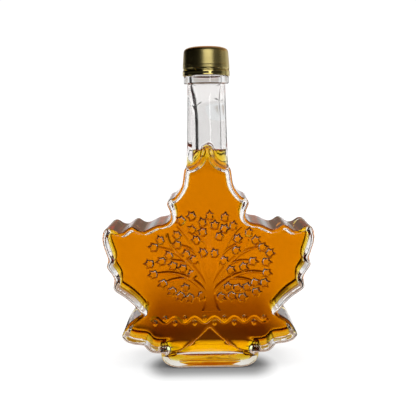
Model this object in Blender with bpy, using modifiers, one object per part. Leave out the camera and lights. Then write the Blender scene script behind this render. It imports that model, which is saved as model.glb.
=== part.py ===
"""A leaf-shaped glass bottle, full of amber syrup and shut with a gold screw cap.

Metres, +Z up. The front faces -Y and the origin is on the ground, under the middle of the foot.
"""
import math
import random

import bmesh
import bpy
import numpy as np
from mathutils import Vector

MM = 0.001
WELD = 0.02 * MM
OBJECT_NAME = "maple_leaf_bottle"

# The leaf body
BODY_DEPTH = 40.0 * MM
EDGE_ROUND = 2.4 * MM
EDGE_SOFTNESS = 3
EDGE_STEPS = 2
WALL = 3.3 * MM
HOLLOW_ROUND = 3.0 * MM
HOLLOW_SOFTNESS = 6
HOLLOW_POINTS = 124
INSET_ROUNDS = 12
SMOOTHING = 0.2
ROOM_SHARE = 0.97

# The neck and the finish that the cap screws on
NECK_TOP_RADIUS = 11.4 * MM
NECK_ROOT_RADIUS = 13.1 * MM
NECK_ROOT_HEIGHT = 112.0 * MM
BORE_RADIUS = 7.0 * MM
BORE_MOUTH_RADIUS = 9.0 * MM
BORE_SHOULDER = 157.0 * MM
BORE_MOUTH = 172.0 * MM
BEAD_RADIUS = 13.5 * MM
UPPER_RIB_RADIUS = 13.2 * MM
GROOVE_RADIUS = 12.7 * MM
BEAD_BOTTOM = 172.8 * MM
BEAD_GROOVE = 175.1 * MM
BEAD_TOP = 177.6 * MM
BEAD_STEP = 0.6 * MM
FINISH_RADIUS = 12.6 * MM
LIP_HEIGHT = 192.4 * MM
LIP_ROUND = 1.2 * MM

# The foot
FOOT_WIDTH = 61.0 * MM
FOOT_DEPTH = 38.0 * MM
FOOT_HEIGHT = 14.0 * MM
FOOT_CORNER = 9.0 * MM
FOOT_END_ROUND = 6.5 * MM
FOOT_FACE_ROUND = 2.6 * MM
FOOT_LEVELS = (0.0, 0.3 * MM, 0.9 * MM, 1.7 * MM, 2.6 * MM, 4.2 * MM, 6.5 * MM, FOOT_HEIGHT)
FOOT_FLOOR = 2.3 * MM
FOOT_HOLLOW_WIDTH = 49.0 * MM
FOOT_HOLLOW_DEPTH = 23.0 * MM
FOOT_HOLLOW_TOP = 19.0 * MM
FOOT_HOLLOW_CORNER = 4.0 * MM
FOOT_HOLLOW_EDGE = 2.4 * MM
HEEL_WIDTH = 43.0 * MM
HEEL_LENGTH = 25.0 * MM
HEEL_CORNER = 12.0 * MM
HEEL_DEPTH = 0.8 * MM

# The notch in the front where the leaf's stem would be
NOTCH_WIDTH = 47.0 * MM
NOTCH_BASE = 9.2 * MM
NOTCH_FOOT = 10.2 * MM
NOTCH_APEX = 26.1 * MM
NOTCH_DEPTH = 5.0 * MM
NOTCH_RIM = 0.6 * MM
NOTCH_POWER = 1.65
NOTCH_STEPS = 8

# The cap
CAP_BOTTOM = 176.4 * MM
CAP_TOP = 193.8 * MM
CAP_TOP_RADIUS = 13.5 * MM
CAP_SKIRT_RADIUS = 14.2 * MM
CAP_ROUND = 1.8 * MM
CAP_WALL = 0.6 * MM
BAND_HEIGHT = 3.4 * MM
GROOVE_DEPTH = 0.25 * MM
GROOVE_HEIGHT = 0.6 * MM

# The syrup
SYRUP_LEVEL = 133.2 * MM
GAP = 0.3 * MM

ROUND_STEPS = 40
CORNER_STEPS = 4

# The tree in relief on the front, its places in millimetres as (x, z)
RELIEF_ROOT = 1.2 * MM
LIMB_HEIGHT = 1.1 * MM
LEAF_HEIGHT = 1.0 * MM
HEIGHT_STEP = 0.01 * MM
HEIGHT_STEPS = 7
TRUNK = ((1.2, 36.5, 5.6), (1.0, 38.8, 3.9), (0.7, 42.5, 3.0), (0.4, 47.0, 2.6), (0.2, 52.0, 2.6),
         (0.2, 57.0, 1.8))
FORK = (0.2, 57.0)
FORK_DROP = 10.0
FORK_SPREAD = 1.2
CROWN_CENTRE = (0.8, 66.5)
CROWN_REACH = (36.5, 29.5)
LIMBS = 7
LIMB_STEPS = 8
WOOD_STEPS = 32
LIMB_FAN = math.radians(104)
LIMB_BEND = (0.42, 0.62)
LIMB_ARCH = 8.5
LIMB_VARIES = (0.84, 0.93)
LIMB_WIDTHS = (2.5, 0.9)
BRANCH_PLACES = (3, 5)
TWICE_BRANCHED = (1, 5)
BRANCH_TURN = math.radians(34)
BRANCH_BEND = (0.55, 0.3)
BRANCH_LENGTHS = (11.5, 15.5)
BRANCH_WIDTHS = (1.4, 0.8)
BRANCH_STEPS = 4
LEAF_SIZE = 5.8
LEAF_SHAPE = ((0.56, 0.0), (0.30, 0.17), (0.27, 0.44), (-0.03, 0.34), (-0.31, 0.38), (-0.42, 0.0))
LEAF_REACH = 0.4 * LEAF_SIZE
TIP_ROOM = 0.5 * LEAF_SIZE
LEAF_APART = 1.01 * LEAF_SIZE
LEAF_OFF_WOOD = 0.58 * LEAF_SIZE
LEAF_OFF_RIM = 0.55 * LEAF_SIZE
LEAF_LOWEST = 45.0
LEAF_TURN = 0.5
LEAF_TRIES = 6000
RELIEF_SEED = 5

# The vine in relief under the tree
VINE_HALF = 36.0
VINE_HEIGHT = 31.0
VINE_RISE = 2.3
VINE_WAVES = 6
WAVE_STEPS = 6
VINE_WIDTH = 1.1
VINE_RELIEF = 0.8 * MM
BUD_SIZE = 4.0
BUD_SHAPE = ((0.5, 0.0), (0.1, 0.3), (-0.4, 0.0), (0.1, -0.3))
BUD_OFFSET = 1.5

# Right half of the leaf's edge, as (x, z) in millimetres, from the tip down to the foot
CROWN = (
    (0.0, 135.4), (1.5, 134.6), (2.5, 132.5), (3.2, 130.2), (4.4, 127.5), (6.3, 125.3), (9.2, 123.7),
    (12.0, 123.0), (13.5, 122.4), (14.2, 119.2), (15.2, 112.7), (17.7, 108.2), (20.3, 105.4),
    (23.4, 104.0), (24.3, 101.2), (22.9, 97.8), (22.4, 93.2),
)
SIDE_LOBE = (
    (25.6, 90.1), (30.4, 89.2), (33.6, 87.9), (37.1, 86.2), (39.7, 85.8), (41.9, 86.6), (44.5, 88.3),
    (46.7, 88.1), (48.5, 87.0), (50.7, 85.3), (52.9, 84.9), (55.1, 85.6), (57.3, 87.1), (59.1, 87.7),
    (61.3, 87.2), (62.9, 85.0), (63.5, 80.3), (62.4, 74.9), (60.4, 68.5), (61.4, 64.7), (60.8, 62.7),
    (58.6, 59.5), (57.1, 56.2), (57.7, 51.7), (57.3, 49.5), (54.1, 47.0), (50.4, 44.4), (45.7, 40.0),
    (42.5, 36.0), (41.1, 34.7),
)
LOW_LOBE = (
    (44.3, 32.3), (48.0, 29.8), (50.2, 27.3), (53.4, 21.4), (53.1, 19.3), (50.9, 17.0), (46.3, 15.4),
    (40.9, 14.7), (39.4, 13.3), (37.3, 11.0), (34.8, 9.9), (30.7, 9.5), (24.2, 9.6), (12.1, 9.6), (0.0, 9.6),
)


def collection(name):
    """New collection in the scene."""
    made = bpy.data.collections.new(name)
    bpy.context.scene.collection.children.link(made)
    return made


def material(name, colour, roughness, metallic=0.0, transmission=0.0):
    """Principled material of one colour."""
    made = bpy.data.materials.new(name)
    made.use_nodes = True
    shader = made.node_tree.nodes["Principled BSDF"]
    shader.inputs["Base Color"].default_value = (*colour, 1.0)
    shader.inputs["Roughness"].default_value = roughness
    shader.inputs["Metallic"].default_value = metallic
    shader.inputs["Transmission Weight"].default_value = transmission
    made.diffuse_color = (*colour, 1.0)
    return made


def add_object(name, mesh, home):
    """Object for a mesh, in a collection."""
    made = bpy.data.objects.new(name, mesh)
    home.objects.link(made)
    return made


def as_cutter(item):
    """Mark an object that only shapes another one."""
    item.hide_render = True
    item.display_type = "WIRE"
    return item


def combine(target, other, operation):
    """Boolean modifier that joins or cuts a target with another object."""
    step = target.modifiers.new(other.name, "BOOLEAN")
    step.operation = operation
    step.solver = "EXACT"
    step.object = other
    return step


def curve_through(points):
    """Points of a smooth curve through the given ones, with one more between each two."""
    smooth = [points[0]]
    for i in range(len(points) - 1):
        before = points[max(i - 1, 0)]
        start, end = points[i], points[i + 1]
        after = points[min(i + 2, len(points) - 1)]
        smooth.append((9 * (start + end) - before - after) / 16)
        smooth.append(end)
    return smooth


def leaf_edge():
    """Whole edge of the leaf as a closed ring of (x, z), in metres."""
    half = [np.array(point) * MM for point in CROWN + SIDE_LOBE + LOW_LOBE]
    right = np.array(curve_through(half))
    left = right[-2:0:-1] * (-1, 1)
    return np.vstack([right, left])


def nearest_on(edge, points):
    """Nearest spot of a closed edge to each point, and how far inside the edge the point is."""
    start = edge[None, :, :]
    end = np.roll(edge, -1, axis=0)[None, :, :]
    along = end - start
    away = points[:, None, :] - start
    share = np.clip((away * along).sum(2) / (along ** 2).sum(2), 0.0, 1.0)
    spots = start + share[:, :, None] * along
    gaps = np.linalg.norm(points[:, None, :] - spots, axis=2)
    best = gaps.argmin(axis=1)
    rows = np.arange(len(points))
    level = points[:, None, 1]
    spans = (start[:, :, 1] > level) != (end[:, :, 1] > level)
    rise = np.where(along[:, :, 1] == 0, 1.0, along[:, :, 1])
    crossing = start[:, :, 0] + (level - start[:, :, 1]) * along[:, :, 0] / rise
    inside = (spans & (points[:, None, 0] < crossing)).sum(axis=1) % 2 == 1
    return spots[rows, best], np.where(inside, 1, -1) * gaps[rows, best]


def drawn_in(edge, distance, softness):
    """Edge moved inwards by a distance, with its tips rounded off and its order of points kept.

    Where a tip is too narrow for the distance, the points there fall back to a straight line across it.
    """
    turn = np.roll(edge, -1, axis=0) - np.roll(edge, 1, axis=0)
    inward = np.column_stack([turn[:, 1], -turn[:, 0]]) / np.linalg.norm(turn, axis=1)[:, None]
    ring = edge + inward * distance / INSET_ROUNDS
    for count in range(1, INSET_ROUNDS + 1):
        for _ in range(softness):
            neighbours = (np.roll(ring, 1, axis=0) + np.roll(ring, -1, axis=0)) / 2
            ring += (neighbours - ring) * SMOOTHING
        spots, depths = nearest_on(edge, ring)
        wanted = distance * count / INSET_ROUNDS
        away = (ring - spots) / np.where(np.abs(depths) < 1e-9, 1e-9, depths)[:, None]
        ring = np.where((depths < wanted)[:, None], spots + away * wanted, ring)
    cramped = nearest_on(edge, ring)[1] < ROOM_SHARE * distance
    for _ in range(INSET_ROUNDS * INSET_ROUNDS):
        between = (np.roll(ring, 1, axis=0) + np.roll(ring, -1, axis=0)) / 2
        ring = np.where(cramped[:, None], between, ring)
    return ring


def respaced(ring, count):
    """The same closed ring drawn with evenly spaced points."""
    closed = np.vstack([ring, ring[:1]])
    travel = np.concatenate([[0.0], np.cumsum(np.linalg.norm(np.diff(closed, axis=0), axis=1))])
    stops = np.linspace(0.0, travel[-1], count, endpoint=False)
    return np.column_stack([np.interp(stops, travel, closed[:, axis]) for axis in (0, 1)])


def ring_at(edge, y):
    """Ring of 3-D points for an edge in the plane at y."""
    return [Vector((x, y, z)) for x, z in edge]


def rounded_slab(name, edge, inner, depth, rounding, home):
    """Slab with the outline edge, rounded over to the outline inner on its front and back."""
    rings = []
    for count in range(EDGE_STEPS + 1):
        angle = math.pi / 2 * count / EDGE_STEPS
        outline = inner + (edge - inner) * math.sin(angle)
        rings.append(ring_at(outline, -depth / 2 + rounding * (1 - math.cos(angle))))
    rings += [[Vector((p.x, -p.y, p.z)) for p in ring] for ring in reversed(rings)]
    return skinned(name, rings, home)


def skinned(name, rings, home):
    """Solid with a skin over a row of rings and a face over each end."""
    bm = bmesh.new()
    rows = [[bm.verts.new(point) for point in ring] for ring in rings]
    for front, back in zip(rows, rows[1:]):
        for i, _ in enumerate(front):
            bm.faces.new((front[i - 1], front[i], back[i], back[i - 1]))
    bm.faces.new(rows[0])
    bm.faces.new(rows[-1])
    bmesh.ops.recalc_face_normals(bm, faces=bm.faces)
    mesh = bpy.data.meshes.new(name)
    bm.to_mesh(mesh)
    bm.free()
    return add_object(name, mesh, home)


def turned(name, profile, home):
    """Turned solid from (radius, height) points, listed from its top, down its outer side."""
    mesh = bpy.data.meshes.new(name)
    points = [(radius, 0.0, height) for radius, height in profile]
    mesh.from_pydata(points, [(i, i + 1) for i in range(len(points) - 1)], [])
    made = add_object(name, mesh, home)
    screw = made.modifiers.new("turn", "SCREW")
    screw.steps = screw.render_steps = ROUND_STEPS
    screw.use_merge_vertices = True
    screw.merge_threshold = WELD
    return made


def rounded_box(name, size, centre, corner, edge_round, home):
    """Box with rounded upright corners and a smaller rounding along its bottom edges."""
    bm = bmesh.new()
    bmesh.ops.create_cube(bm, size=1.0)
    bmesh.ops.scale(bm, vec=size, verts=bm.verts)
    bmesh.ops.translate(bm, vec=centre, verts=bm.verts)
    upright = [e for e in bm.edges if abs(e.verts[0].co.z - e.verts[1].co.z) > size[2] / 2]
    bmesh.ops.bevel(bm, geom=upright, offset=corner, segments=CORNER_STEPS, profile=0.5, affect="EDGES")
    floor = centre[2] - size[2] / 2
    low = [e for e in bm.edges if all(abs(v.co.z - floor) < 1e-6 for v in e.verts)]
    bmesh.ops.bevel(bm, geom=low, offset=edge_round, segments=CORNER_STEPS, profile=0.5, affect="EDGES")
    mesh = bpy.data.meshes.new(name)
    bm.to_mesh(mesh)
    bm.free()
    return add_object(name, mesh, home)


def notch_cutter(name, spread, home):
    """Cutter for the stem's notch in the front, a pointed arch with a bowed floor."""
    face = BODY_DEPTH / 2
    half = NOTCH_WIDTH / 2 + spread
    bm = bmesh.new()
    columns = []
    for count in range(-NOTCH_STEPS, NOTCH_STEPS + 1):
        share = count / NOTCH_STEPS
        top = NOTCH_FOOT + (NOTCH_APEX - NOTCH_FOOT) * (1 - abs(share)) ** NOTCH_POWER + spread
        depth = NOTCH_RIM + (NOTCH_DEPTH - NOTCH_RIM) * (1 - share ** 2) + spread
        outside = face + NOTCH_DEPTH
        corners = [(outside, NOTCH_BASE - spread), (outside, top), (face - depth, top),
                   (face - depth, NOTCH_BASE - spread)]
        columns.append([bm.verts.new((share * half, -y, z)) for y, z in corners])
    for left, right in zip(columns, columns[1:]):
        for i in range(4):
            bm.faces.new((left[i - 1], left[i], right[i], right[i - 1]))
    bm.faces.new(columns[0])
    bm.faces.new(columns[-1])
    bmesh.ops.recalc_face_normals(bm, faces=bm.faces)
    mesh = bpy.data.meshes.new(name)
    bm.to_mesh(mesh)
    bm.free()
    return as_cutter(add_object(name, mesh, home))


def cavity(name, gap, home, cutters):
    """The space inside the glass: leaf, bore and foot joined, less the notch. Gap makes it smaller."""
    wall = WALL + gap
    edge = respaced(drawn_in(leaf_edge(), WALL, HOLLOW_SOFTNESS), HOLLOW_POINTS)
    inner = drawn_in(edge, HOLLOW_ROUND, HOLLOW_SOFTNESS)
    if gap:
        edge, inner = drawn_in(edge, gap, 0), drawn_in(inner, gap, 0)
    made = rounded_slab(name, edge, inner, BODY_DEPTH - 2 * wall, HOLLOW_ROUND, home)
    bore = [(0.0, LIP_HEIGHT + WALL), (BORE_MOUTH_RADIUS - gap, LIP_HEIGHT + WALL),
            (BORE_MOUTH_RADIUS - gap, BORE_MOUTH), (BORE_RADIUS - gap, BORE_SHOULDER),
            (BORE_RADIUS - gap, NECK_ROOT_HEIGHT - WALL), (0.0, NECK_ROOT_HEIGHT - WALL)]
    combine(made, as_cutter(turned(name + "_bore", bore, cutters)), "UNION")
    size = (FOOT_HOLLOW_WIDTH - 2 * gap, FOOT_HOLLOW_DEPTH - 2 * gap, FOOT_HOLLOW_TOP - FOOT_FLOOR - gap)
    centre = (0.0, 0.0, (FOOT_HOLLOW_TOP + FOOT_FLOOR + gap) / 2)
    well = rounded_box(name + "_well", size, centre, FOOT_HOLLOW_CORNER, FOOT_HOLLOW_EDGE, cutters)
    combine(made, as_cutter(well), "UNION")
    combine(made, notch_cutter(name + "_notch", wall, cutters), "DIFFERENCE")
    return made


def rounded_profile(radius, height, rounding):
    """Points of a turned edge that is rounded from its flat top into its side."""
    angles = [math.pi / 2 * count / CORNER_STEPS for count in range(CORNER_STEPS + 1)]
    return [(radius - rounding * (1 - math.sin(a)), height - rounding * (1 - math.cos(a))) for a in angles]


def neck(home):
    """Neck, bead and finish as one turned solid that reaches down into the leaf."""
    profile = [(0.0, LIP_HEIGHT)] + rounded_profile(FINISH_RADIUS, LIP_HEIGHT, LIP_ROUND)
    profile += [
        (FINISH_RADIUS, BEAD_TOP + BEAD_STEP), (UPPER_RIB_RADIUS, BEAD_TOP),
        (UPPER_RIB_RADIUS, BEAD_GROOVE + BEAD_STEP),
        (GROOVE_RADIUS, BEAD_GROOVE), (GROOVE_RADIUS, BEAD_GROOVE - BEAD_STEP / 2),
        (BEAD_RADIUS, BEAD_GROOVE - BEAD_STEP), (BEAD_RADIUS, BEAD_BOTTOM + BEAD_STEP),
        (GROOVE_RADIUS, BEAD_BOTTOM), (NECK_TOP_RADIUS, BEAD_BOTTOM - BEAD_STEP),
        (NECK_ROOT_RADIUS, NECK_ROOT_HEIGHT), (0.0, NECK_ROOT_HEIGHT),
    ]
    return as_cutter(turned("neck", profile, home))


def rounded_plan(width, depth, corner):
    """Points of a rectangle with round corners, as (x, y)."""
    points = []
    for turn, (side_x, side_y) in enumerate(((1, 1), (-1, 1), (-1, -1), (1, -1))):
        for count in range(CORNER_STEPS + 1):
            angle = math.pi / 2 * (turn + count / CORNER_STEPS)
            points.append((side_x * (width / 2 - corner) + corner * math.cos(angle),
                           side_y * (depth / 2 - corner) + corner * math.sin(angle)))
    return points


def inset_at(height, radius):
    """How far a rounding of a radius at the bottom of a side draws the side in at a height."""
    below = max(radius - height, 0.0)
    return radius - math.sqrt(radius ** 2 - below ** 2)


def foot(home):
    """Foot under the leaf, a low block whose ends round over more than its front and back."""
    plan = rounded_plan(FOOT_WIDTH, FOOT_DEPTH, FOOT_CORNER)
    rings = []
    for level in FOOT_LEVELS:
        narrow = 1 - 2 * inset_at(level, FOOT_END_ROUND) / FOOT_WIDTH
        shallow = 1 - 2 * inset_at(level, FOOT_FACE_ROUND) / FOOT_DEPTH
        rings.append([Vector((x * narrow, y * shallow, level)) for x, y in plan])
    return as_cutter(skinned("foot", rings, home))


def heel(home):
    """Cutter for the shallow hollow under the foot, which leaves a rim to stand on."""
    size = (HEEL_WIDTH, HEEL_LENGTH, 2 * HEEL_DEPTH)
    return as_cutter(rounded_box("heel", size, (0.0, 0.0, 0.0), HEEL_CORNER, HEEL_DEPTH / 2, home))


def bent(start, middle, end, steps):
    """Points of a quadratic curve from start to end, drawn towards middle."""
    points = []
    for count in range(steps + 1):
        t = count / steps
        points.append((1 - t) ** 2 * start + 2 * t * (1 - t) * middle + t * t * end)
    return points


def stroke(points, root_width, tip_width):
    """Outline of a tapering line along some points, all in the plane of the face."""
    left, right = [], []
    for i, point in enumerate(points):
        ahead = points[min(i + 1, len(points) - 1)] - points[max(i - 1, 0)]
        side = np.array((-ahead[1], ahead[0])) / np.linalg.norm(ahead)
        half = (root_width + (tip_width - root_width) * i / (len(points) - 1)) / 2
        left.append(point + side * half)
        right.append(point - side * half)
    return left + right[::-1]


def pad(shape, centre, heading, size):
    """Outline of a flat shape that lies along a heading."""
    turn = np.array(((math.cos(heading), -math.sin(heading)), (math.sin(heading), math.cos(heading))))
    return [centre + turn @ np.array(corner) * size for corner in shape]


def leaf_shape():
    """Outline of a lobed leaf of size 1 that points along +X, from its upper half."""
    return LEAF_SHAPE + tuple((x, -y) for x, y in LEAF_SHAPE[-2:0:-1])


def limb_curves(draw):
    """The tree's limbs and branches, each as the three points of its curve, its widths and its steps."""
    curves = []
    for number in range(LIMBS):
        lean = LIMB_FAN * (2 * number / (LIMBS - 1) - 1)
        fork = FORK[1] - FORK_DROP * abs(lean) / LIMB_FAN
        start = np.array((FORK[0] + FORK_SPREAD * math.sin(lean), fork))
        reach = np.array((math.sin(lean), math.cos(lean))) * CROWN_REACH * draw.uniform(*LIMB_VARIES)
        end = np.array(CROWN_CENTRE) + reach
        middle = start + (end - start) * LIMB_BEND + (0.0, LIMB_ARCH * abs(math.sin(lean)))
        curves.append(((start, middle, end), LIMB_WIDTHS, LIMB_STEPS))
        line = bent(start, middle, end, LIMB_STEPS)
        outward = 1 if 2 * number < LIMBS else -1
        sides = (outward, -outward) if number in TWICE_BRANCHED else (outward,)
        for place, side in zip(BRANCH_PLACES, sides):
            ahead = line[place + 1] - line[place]
            heading = math.atan2(ahead[1], ahead[0]) + side * BRANCH_TURN
            length = draw.uniform(*BRANCH_LENGTHS)
            tip = line[place] + length * direction(heading)
            bow = line[place] + BRANCH_BEND[0] * length * direction(heading - side * BRANCH_BEND[1])
            curves.append(((line[place], bow, tip), BRANCH_WIDTHS, BRANCH_STEPS))
    return curves


def direction(heading):
    """Unit vector along a heading."""
    return np.array((math.cos(heading), math.sin(heading)))


def leaf_places(curves, draw):
    """Places and headings of the tree's leaves: at the tips of the wood, then wherever there is room."""
    edge = leaf_edge()
    wood = [point for curve, _, _ in curves for point in bent(*curve, WOOD_STEPS)]
    wood += [np.array(level[:2]) for level in TRUNK]
    places = []

    def has_room(spot, timber):
        """Whether a leaf fits at a spot, clear of the leaf's rim, the other leaves and the wood."""
        off_rim = nearest_on(edge, spot[None, :] * MM)[1][0] > EDGE_ROUND + LEAF_OFF_RIM * MM
        apart = all(np.linalg.norm(spot - other) > LEAF_APART for other, _ in places)
        return off_rim and apart and np.linalg.norm(timber - spot, axis=1).min() > LEAF_OFF_WOOD

    for (_, bow, tip), _, _ in curves:
        heading = math.atan2(*(tip - bow)[::-1])
        spot = tip + LEAF_REACH * direction(heading)
        if has_room(spot, np.array([point for point in wood if np.linalg.norm(point - tip) > TIP_ROOM])):
            places.append((spot, heading))
    for _ in range(LEAF_TRIES):
        lean = draw.uniform(-math.pi, math.pi)
        reach = math.sqrt(draw.random()) * np.array((math.sin(lean), math.cos(lean)))
        spot = np.array(CROWN_CENTRE) + reach * CROWN_REACH
        if spot[1] > LEAF_LOWEST and has_room(spot, np.array(wood)):
            outward = spot - (FORK[0], FORK[1] - FORK_DROP / 2)
            places.append((spot, math.atan2(outward[1], outward[0]) + draw.uniform(-LEAF_TURN, LEAF_TURN)))
    return places


def tree_outlines():
    """Outlines of the tree's trunk, limbs, branches and leaves, each with its height above the face."""
    draw = random.Random(RELIEF_SEED)
    base = [np.array((x - half, z)) for x, z, half in TRUNK]
    shapes = [(base + [np.array((x + half, z)) for x, z, half in reversed(TRUNK)], LIMB_HEIGHT)]
    curves = limb_curves(draw)
    for number, (curve, widths, steps) in enumerate(curves):
        shapes.append((stroke(bent(*curve, steps), *widths), LIMB_HEIGHT - HEIGHT_STEP * (number + 1)))
    for number, (spot, heading) in enumerate(leaf_places(curves, draw)):
        outline = pad(leaf_shape(), spot, heading, LEAF_SIZE)
        shapes.append((outline, LEAF_HEIGHT - HEIGHT_STEP * (number % HEIGHT_STEPS)))
    return shapes


def vine_outlines():
    """Outlines of the running vine under the tree, a wave with a bud in each bend, with their heights."""
    steps = VINE_WAVES * WAVE_STEPS
    points = []
    for count in range(steps + 1):
        share = count / steps
        rise = VINE_RISE * math.sin(2 * math.pi * VINE_WAVES * share)
        points.append(np.array((VINE_HALF * (2 * share - 1), VINE_HEIGHT + rise)))
    shapes = [(stroke(points, VINE_WIDTH, VINE_WIDTH), VINE_RELIEF)]
    for count in range(2 * VINE_WAVES):
        share = (count + 0.5) / (2 * VINE_WAVES)
        side = -1 if count % 2 == 0 else 1
        spot = np.array((VINE_HALF * (2 * share - 1), VINE_HEIGHT + side * BUD_OFFSET))
        outline = pad(BUD_SHAPE, spot, side * math.pi / 2, BUD_SIZE)
        shapes.append((outline, VINE_RELIEF - HEIGHT_STEP * (1 + count % HEIGHT_STEPS)))
    return shapes


def raised(name, outline, height, home):
    """Prism that stands out of the front face by a height, from an outline in millimetres."""
    bm = bmesh.new()
    face = -BODY_DEPTH / 2
    low = bm.faces.new([bm.verts.new((x * MM, face + RELIEF_ROOT, z * MM)) for x, z in outline])
    made = bmesh.ops.extrude_face_region(bm, geom=[low])
    lifted = [item for item in made["geom"] if isinstance(item, bmesh.types.BMVert)]
    bmesh.ops.translate(bm, vec=(0.0, -height - RELIEF_ROOT, 0.0), verts=lifted)
    bmesh.ops.recalc_face_normals(bm, faces=bm.faces)
    mesh = bpy.data.meshes.new(name)
    bm.to_mesh(mesh)
    bm.free()
    return add_object(name, mesh, home)


def add_relief(target):
    """Join the tree and the vine to the front of a body."""
    relief = collection("relief")
    for number, (outline, height) in enumerate(tree_outlines() + vine_outlines()):
        raised("relief_%02d" % number, outline, height, relief)
    step = target.modifiers.new("relief", "BOOLEAN")
    step.operation = "UNION"
    step.solver = "EXACT"
    step.operand_type = "COLLECTION"
    step.collection = relief
    graph = bpy.context.evaluated_depsgraph_get()
    joined = bpy.data.meshes.new_from_object(target.evaluated_get(graph))
    target.modifiers.clear()
    target.data = joined
    for item in list(relief.objects):
        bpy.data.objects.remove(item)
    bpy.data.collections.remove(relief)


def glass_bottle(home, cutters):
    """The glass: leaf, neck and foot in one, hollow and open at the lip."""
    edge = leaf_edge()
    inner = drawn_in(edge, EDGE_ROUND, EDGE_SOFTNESS)
    made = rounded_slab("glass_bottle", edge, inner, BODY_DEPTH, EDGE_ROUND, home)
    add_relief(made)
    combine(made, neck(cutters), "UNION")
    combine(made, foot(cutters), "UNION")
    combine(made, notch_cutter("notch", 0.0, cutters), "DIFFERENCE")
    combine(made, heel(cutters), "DIFFERENCE")
    combine(made, as_cutter(cavity("hollow", 0.0, cutters, cutters)), "DIFFERENCE")
    made.data.materials.append(material("clear glass", (0.95, 0.96, 0.96), 0.03, transmission=1.0))
    return made


def syrup(home, cutters):
    """The syrup, which fills the glass up to its level in the neck."""
    made = cavity("syrup", GAP, home, cutters)
    size = (FOOT_WIDTH, BODY_DEPTH, 2 * (LIP_HEIGHT - SYRUP_LEVEL))
    air = rounded_box("headspace", size, (0.0, 0.0, SYRUP_LEVEL + size[2] / 2), WALL, WALL / 2, cutters)
    combine(made, as_cutter(air), "DIFFERENCE")
    made.data.materials.append(material("amber syrup", (0.75, 0.30, 0.02), 0.02, transmission=0.8))
    return made


def screw_cap(home):
    """Metal cap, a turned shell with a tear band round its lower edge."""
    band_top = CAP_BOTTOM + BAND_HEIGHT
    profile = [(0.0, CAP_TOP)] + rounded_profile(CAP_TOP_RADIUS, CAP_TOP, CAP_ROUND)
    profile += [
        (CAP_SKIRT_RADIUS - GROOVE_DEPTH, band_top + 2 * GROOVE_HEIGHT),
        (CAP_SKIRT_RADIUS - 2 * GROOVE_DEPTH, band_top + GROOVE_HEIGHT),
        (CAP_SKIRT_RADIUS, band_top), (CAP_SKIRT_RADIUS, CAP_BOTTOM),
        (CAP_SKIRT_RADIUS - CAP_WALL, CAP_BOTTOM), (CAP_TOP_RADIUS - CAP_WALL, CAP_TOP - 2 * CAP_WALL),
        (CAP_TOP_RADIUS - 2 * CAP_WALL, CAP_TOP - CAP_WALL), (0.0, CAP_TOP - CAP_WALL),
    ]
    made = turned("screw_cap", profile, home)
    made.data.materials.append(material("gold lacquered aluminium", (0.52, 0.44, 0.17), 0.35, metallic=1.0))
    return made


def build():
    """Build the bottle from an empty scene."""
    for item in list(bpy.data.objects):
        bpy.data.objects.remove(item)
    home = collection(OBJECT_NAME)
    cutters = collection("cutters")
    glass_bottle(home, cutters)
    syrup(home, cutters)
    screw_cap(home)


build()
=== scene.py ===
"""Looks of a leaf-shaped glass bottle of amber syrup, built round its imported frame.

Metres, +Z up, front towards -Y, origin on the ground under the middle of the bottle.
"""
import logging
import math
import random
from dataclasses import dataclass
from enum import Enum
from typing import Callable, List, Sequence, Tuple, Union

import bmesh
import bpy
import numpy as np
from mathutils import Matrix, Vector
from mathutils.bvhtree import BVHTree


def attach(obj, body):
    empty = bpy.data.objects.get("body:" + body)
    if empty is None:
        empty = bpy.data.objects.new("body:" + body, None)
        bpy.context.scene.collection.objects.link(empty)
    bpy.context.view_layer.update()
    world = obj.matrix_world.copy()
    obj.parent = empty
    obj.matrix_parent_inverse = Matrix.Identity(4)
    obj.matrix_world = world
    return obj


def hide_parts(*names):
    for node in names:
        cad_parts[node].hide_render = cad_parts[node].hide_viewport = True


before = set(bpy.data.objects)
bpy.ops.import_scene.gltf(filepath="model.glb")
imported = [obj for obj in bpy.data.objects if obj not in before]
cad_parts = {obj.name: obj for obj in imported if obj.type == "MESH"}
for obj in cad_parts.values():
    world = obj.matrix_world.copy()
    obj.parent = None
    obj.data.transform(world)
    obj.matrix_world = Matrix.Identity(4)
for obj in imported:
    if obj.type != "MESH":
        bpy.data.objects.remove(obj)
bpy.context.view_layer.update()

logging.basicConfig(level=logging.INFO, format="%(message)s")
LOG = logging.getLogger("scene")

MM = 0.001
Thing = bpy.types.Object
Point = Tuple[float, float]
Triple = Tuple[float, float, float]
Colour = Triple
Socket = bpy.types.NodeSocket
Stops = Sequence[Tuple[float, Union[float, Colour]]]


class Cut(Enum):
    """What a Boolean does with its second solid."""

    AWAY = "DIFFERENCE"
    ON = "UNION"


class Element(Enum):
    """What edit mode selects."""

    EDGES = "EDGE"
    FACES = "FACE"


class Axis(Enum):
    """The axis that a flat faces along, by its place in a coordinate."""

    Y = 1
    Z = 2


class Wall(Enum):
    """Material slot of a wall of the glass."""

    DRY = 0
    WET = 1


# Objects and edit mode

def select_only(*items: Thing) -> None:
    """Select objects and nothing else.

    Args:
        items: The objects. The first one becomes the active one.
    """
    bpy.context.view_layer.update()
    bpy.ops.object.select_all(action="DESELECT")
    for item in items:
        item.select_set(True)
    bpy.context.view_layer.objects.active = items[0]


def from_points(name: str, points: np.ndarray, edges: Sequence, faces: Sequence) -> Thing:
    """New object in the scene from points and the edges or faces between them.

    Args:
        name: Name of the new object.
        points: Its points in metres.
        edges: Pairs of points, where no face makes them.
        faces: Rounds of points.

    Returns:
        The new object.
    """
    mesh = bpy.data.meshes.new(name)
    mesh.from_pydata([tuple(point) for point in points], edges, faces)
    made = bpy.data.objects.new(name, mesh)
    bpy.context.scene.collection.objects.link(made)
    return made


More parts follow.
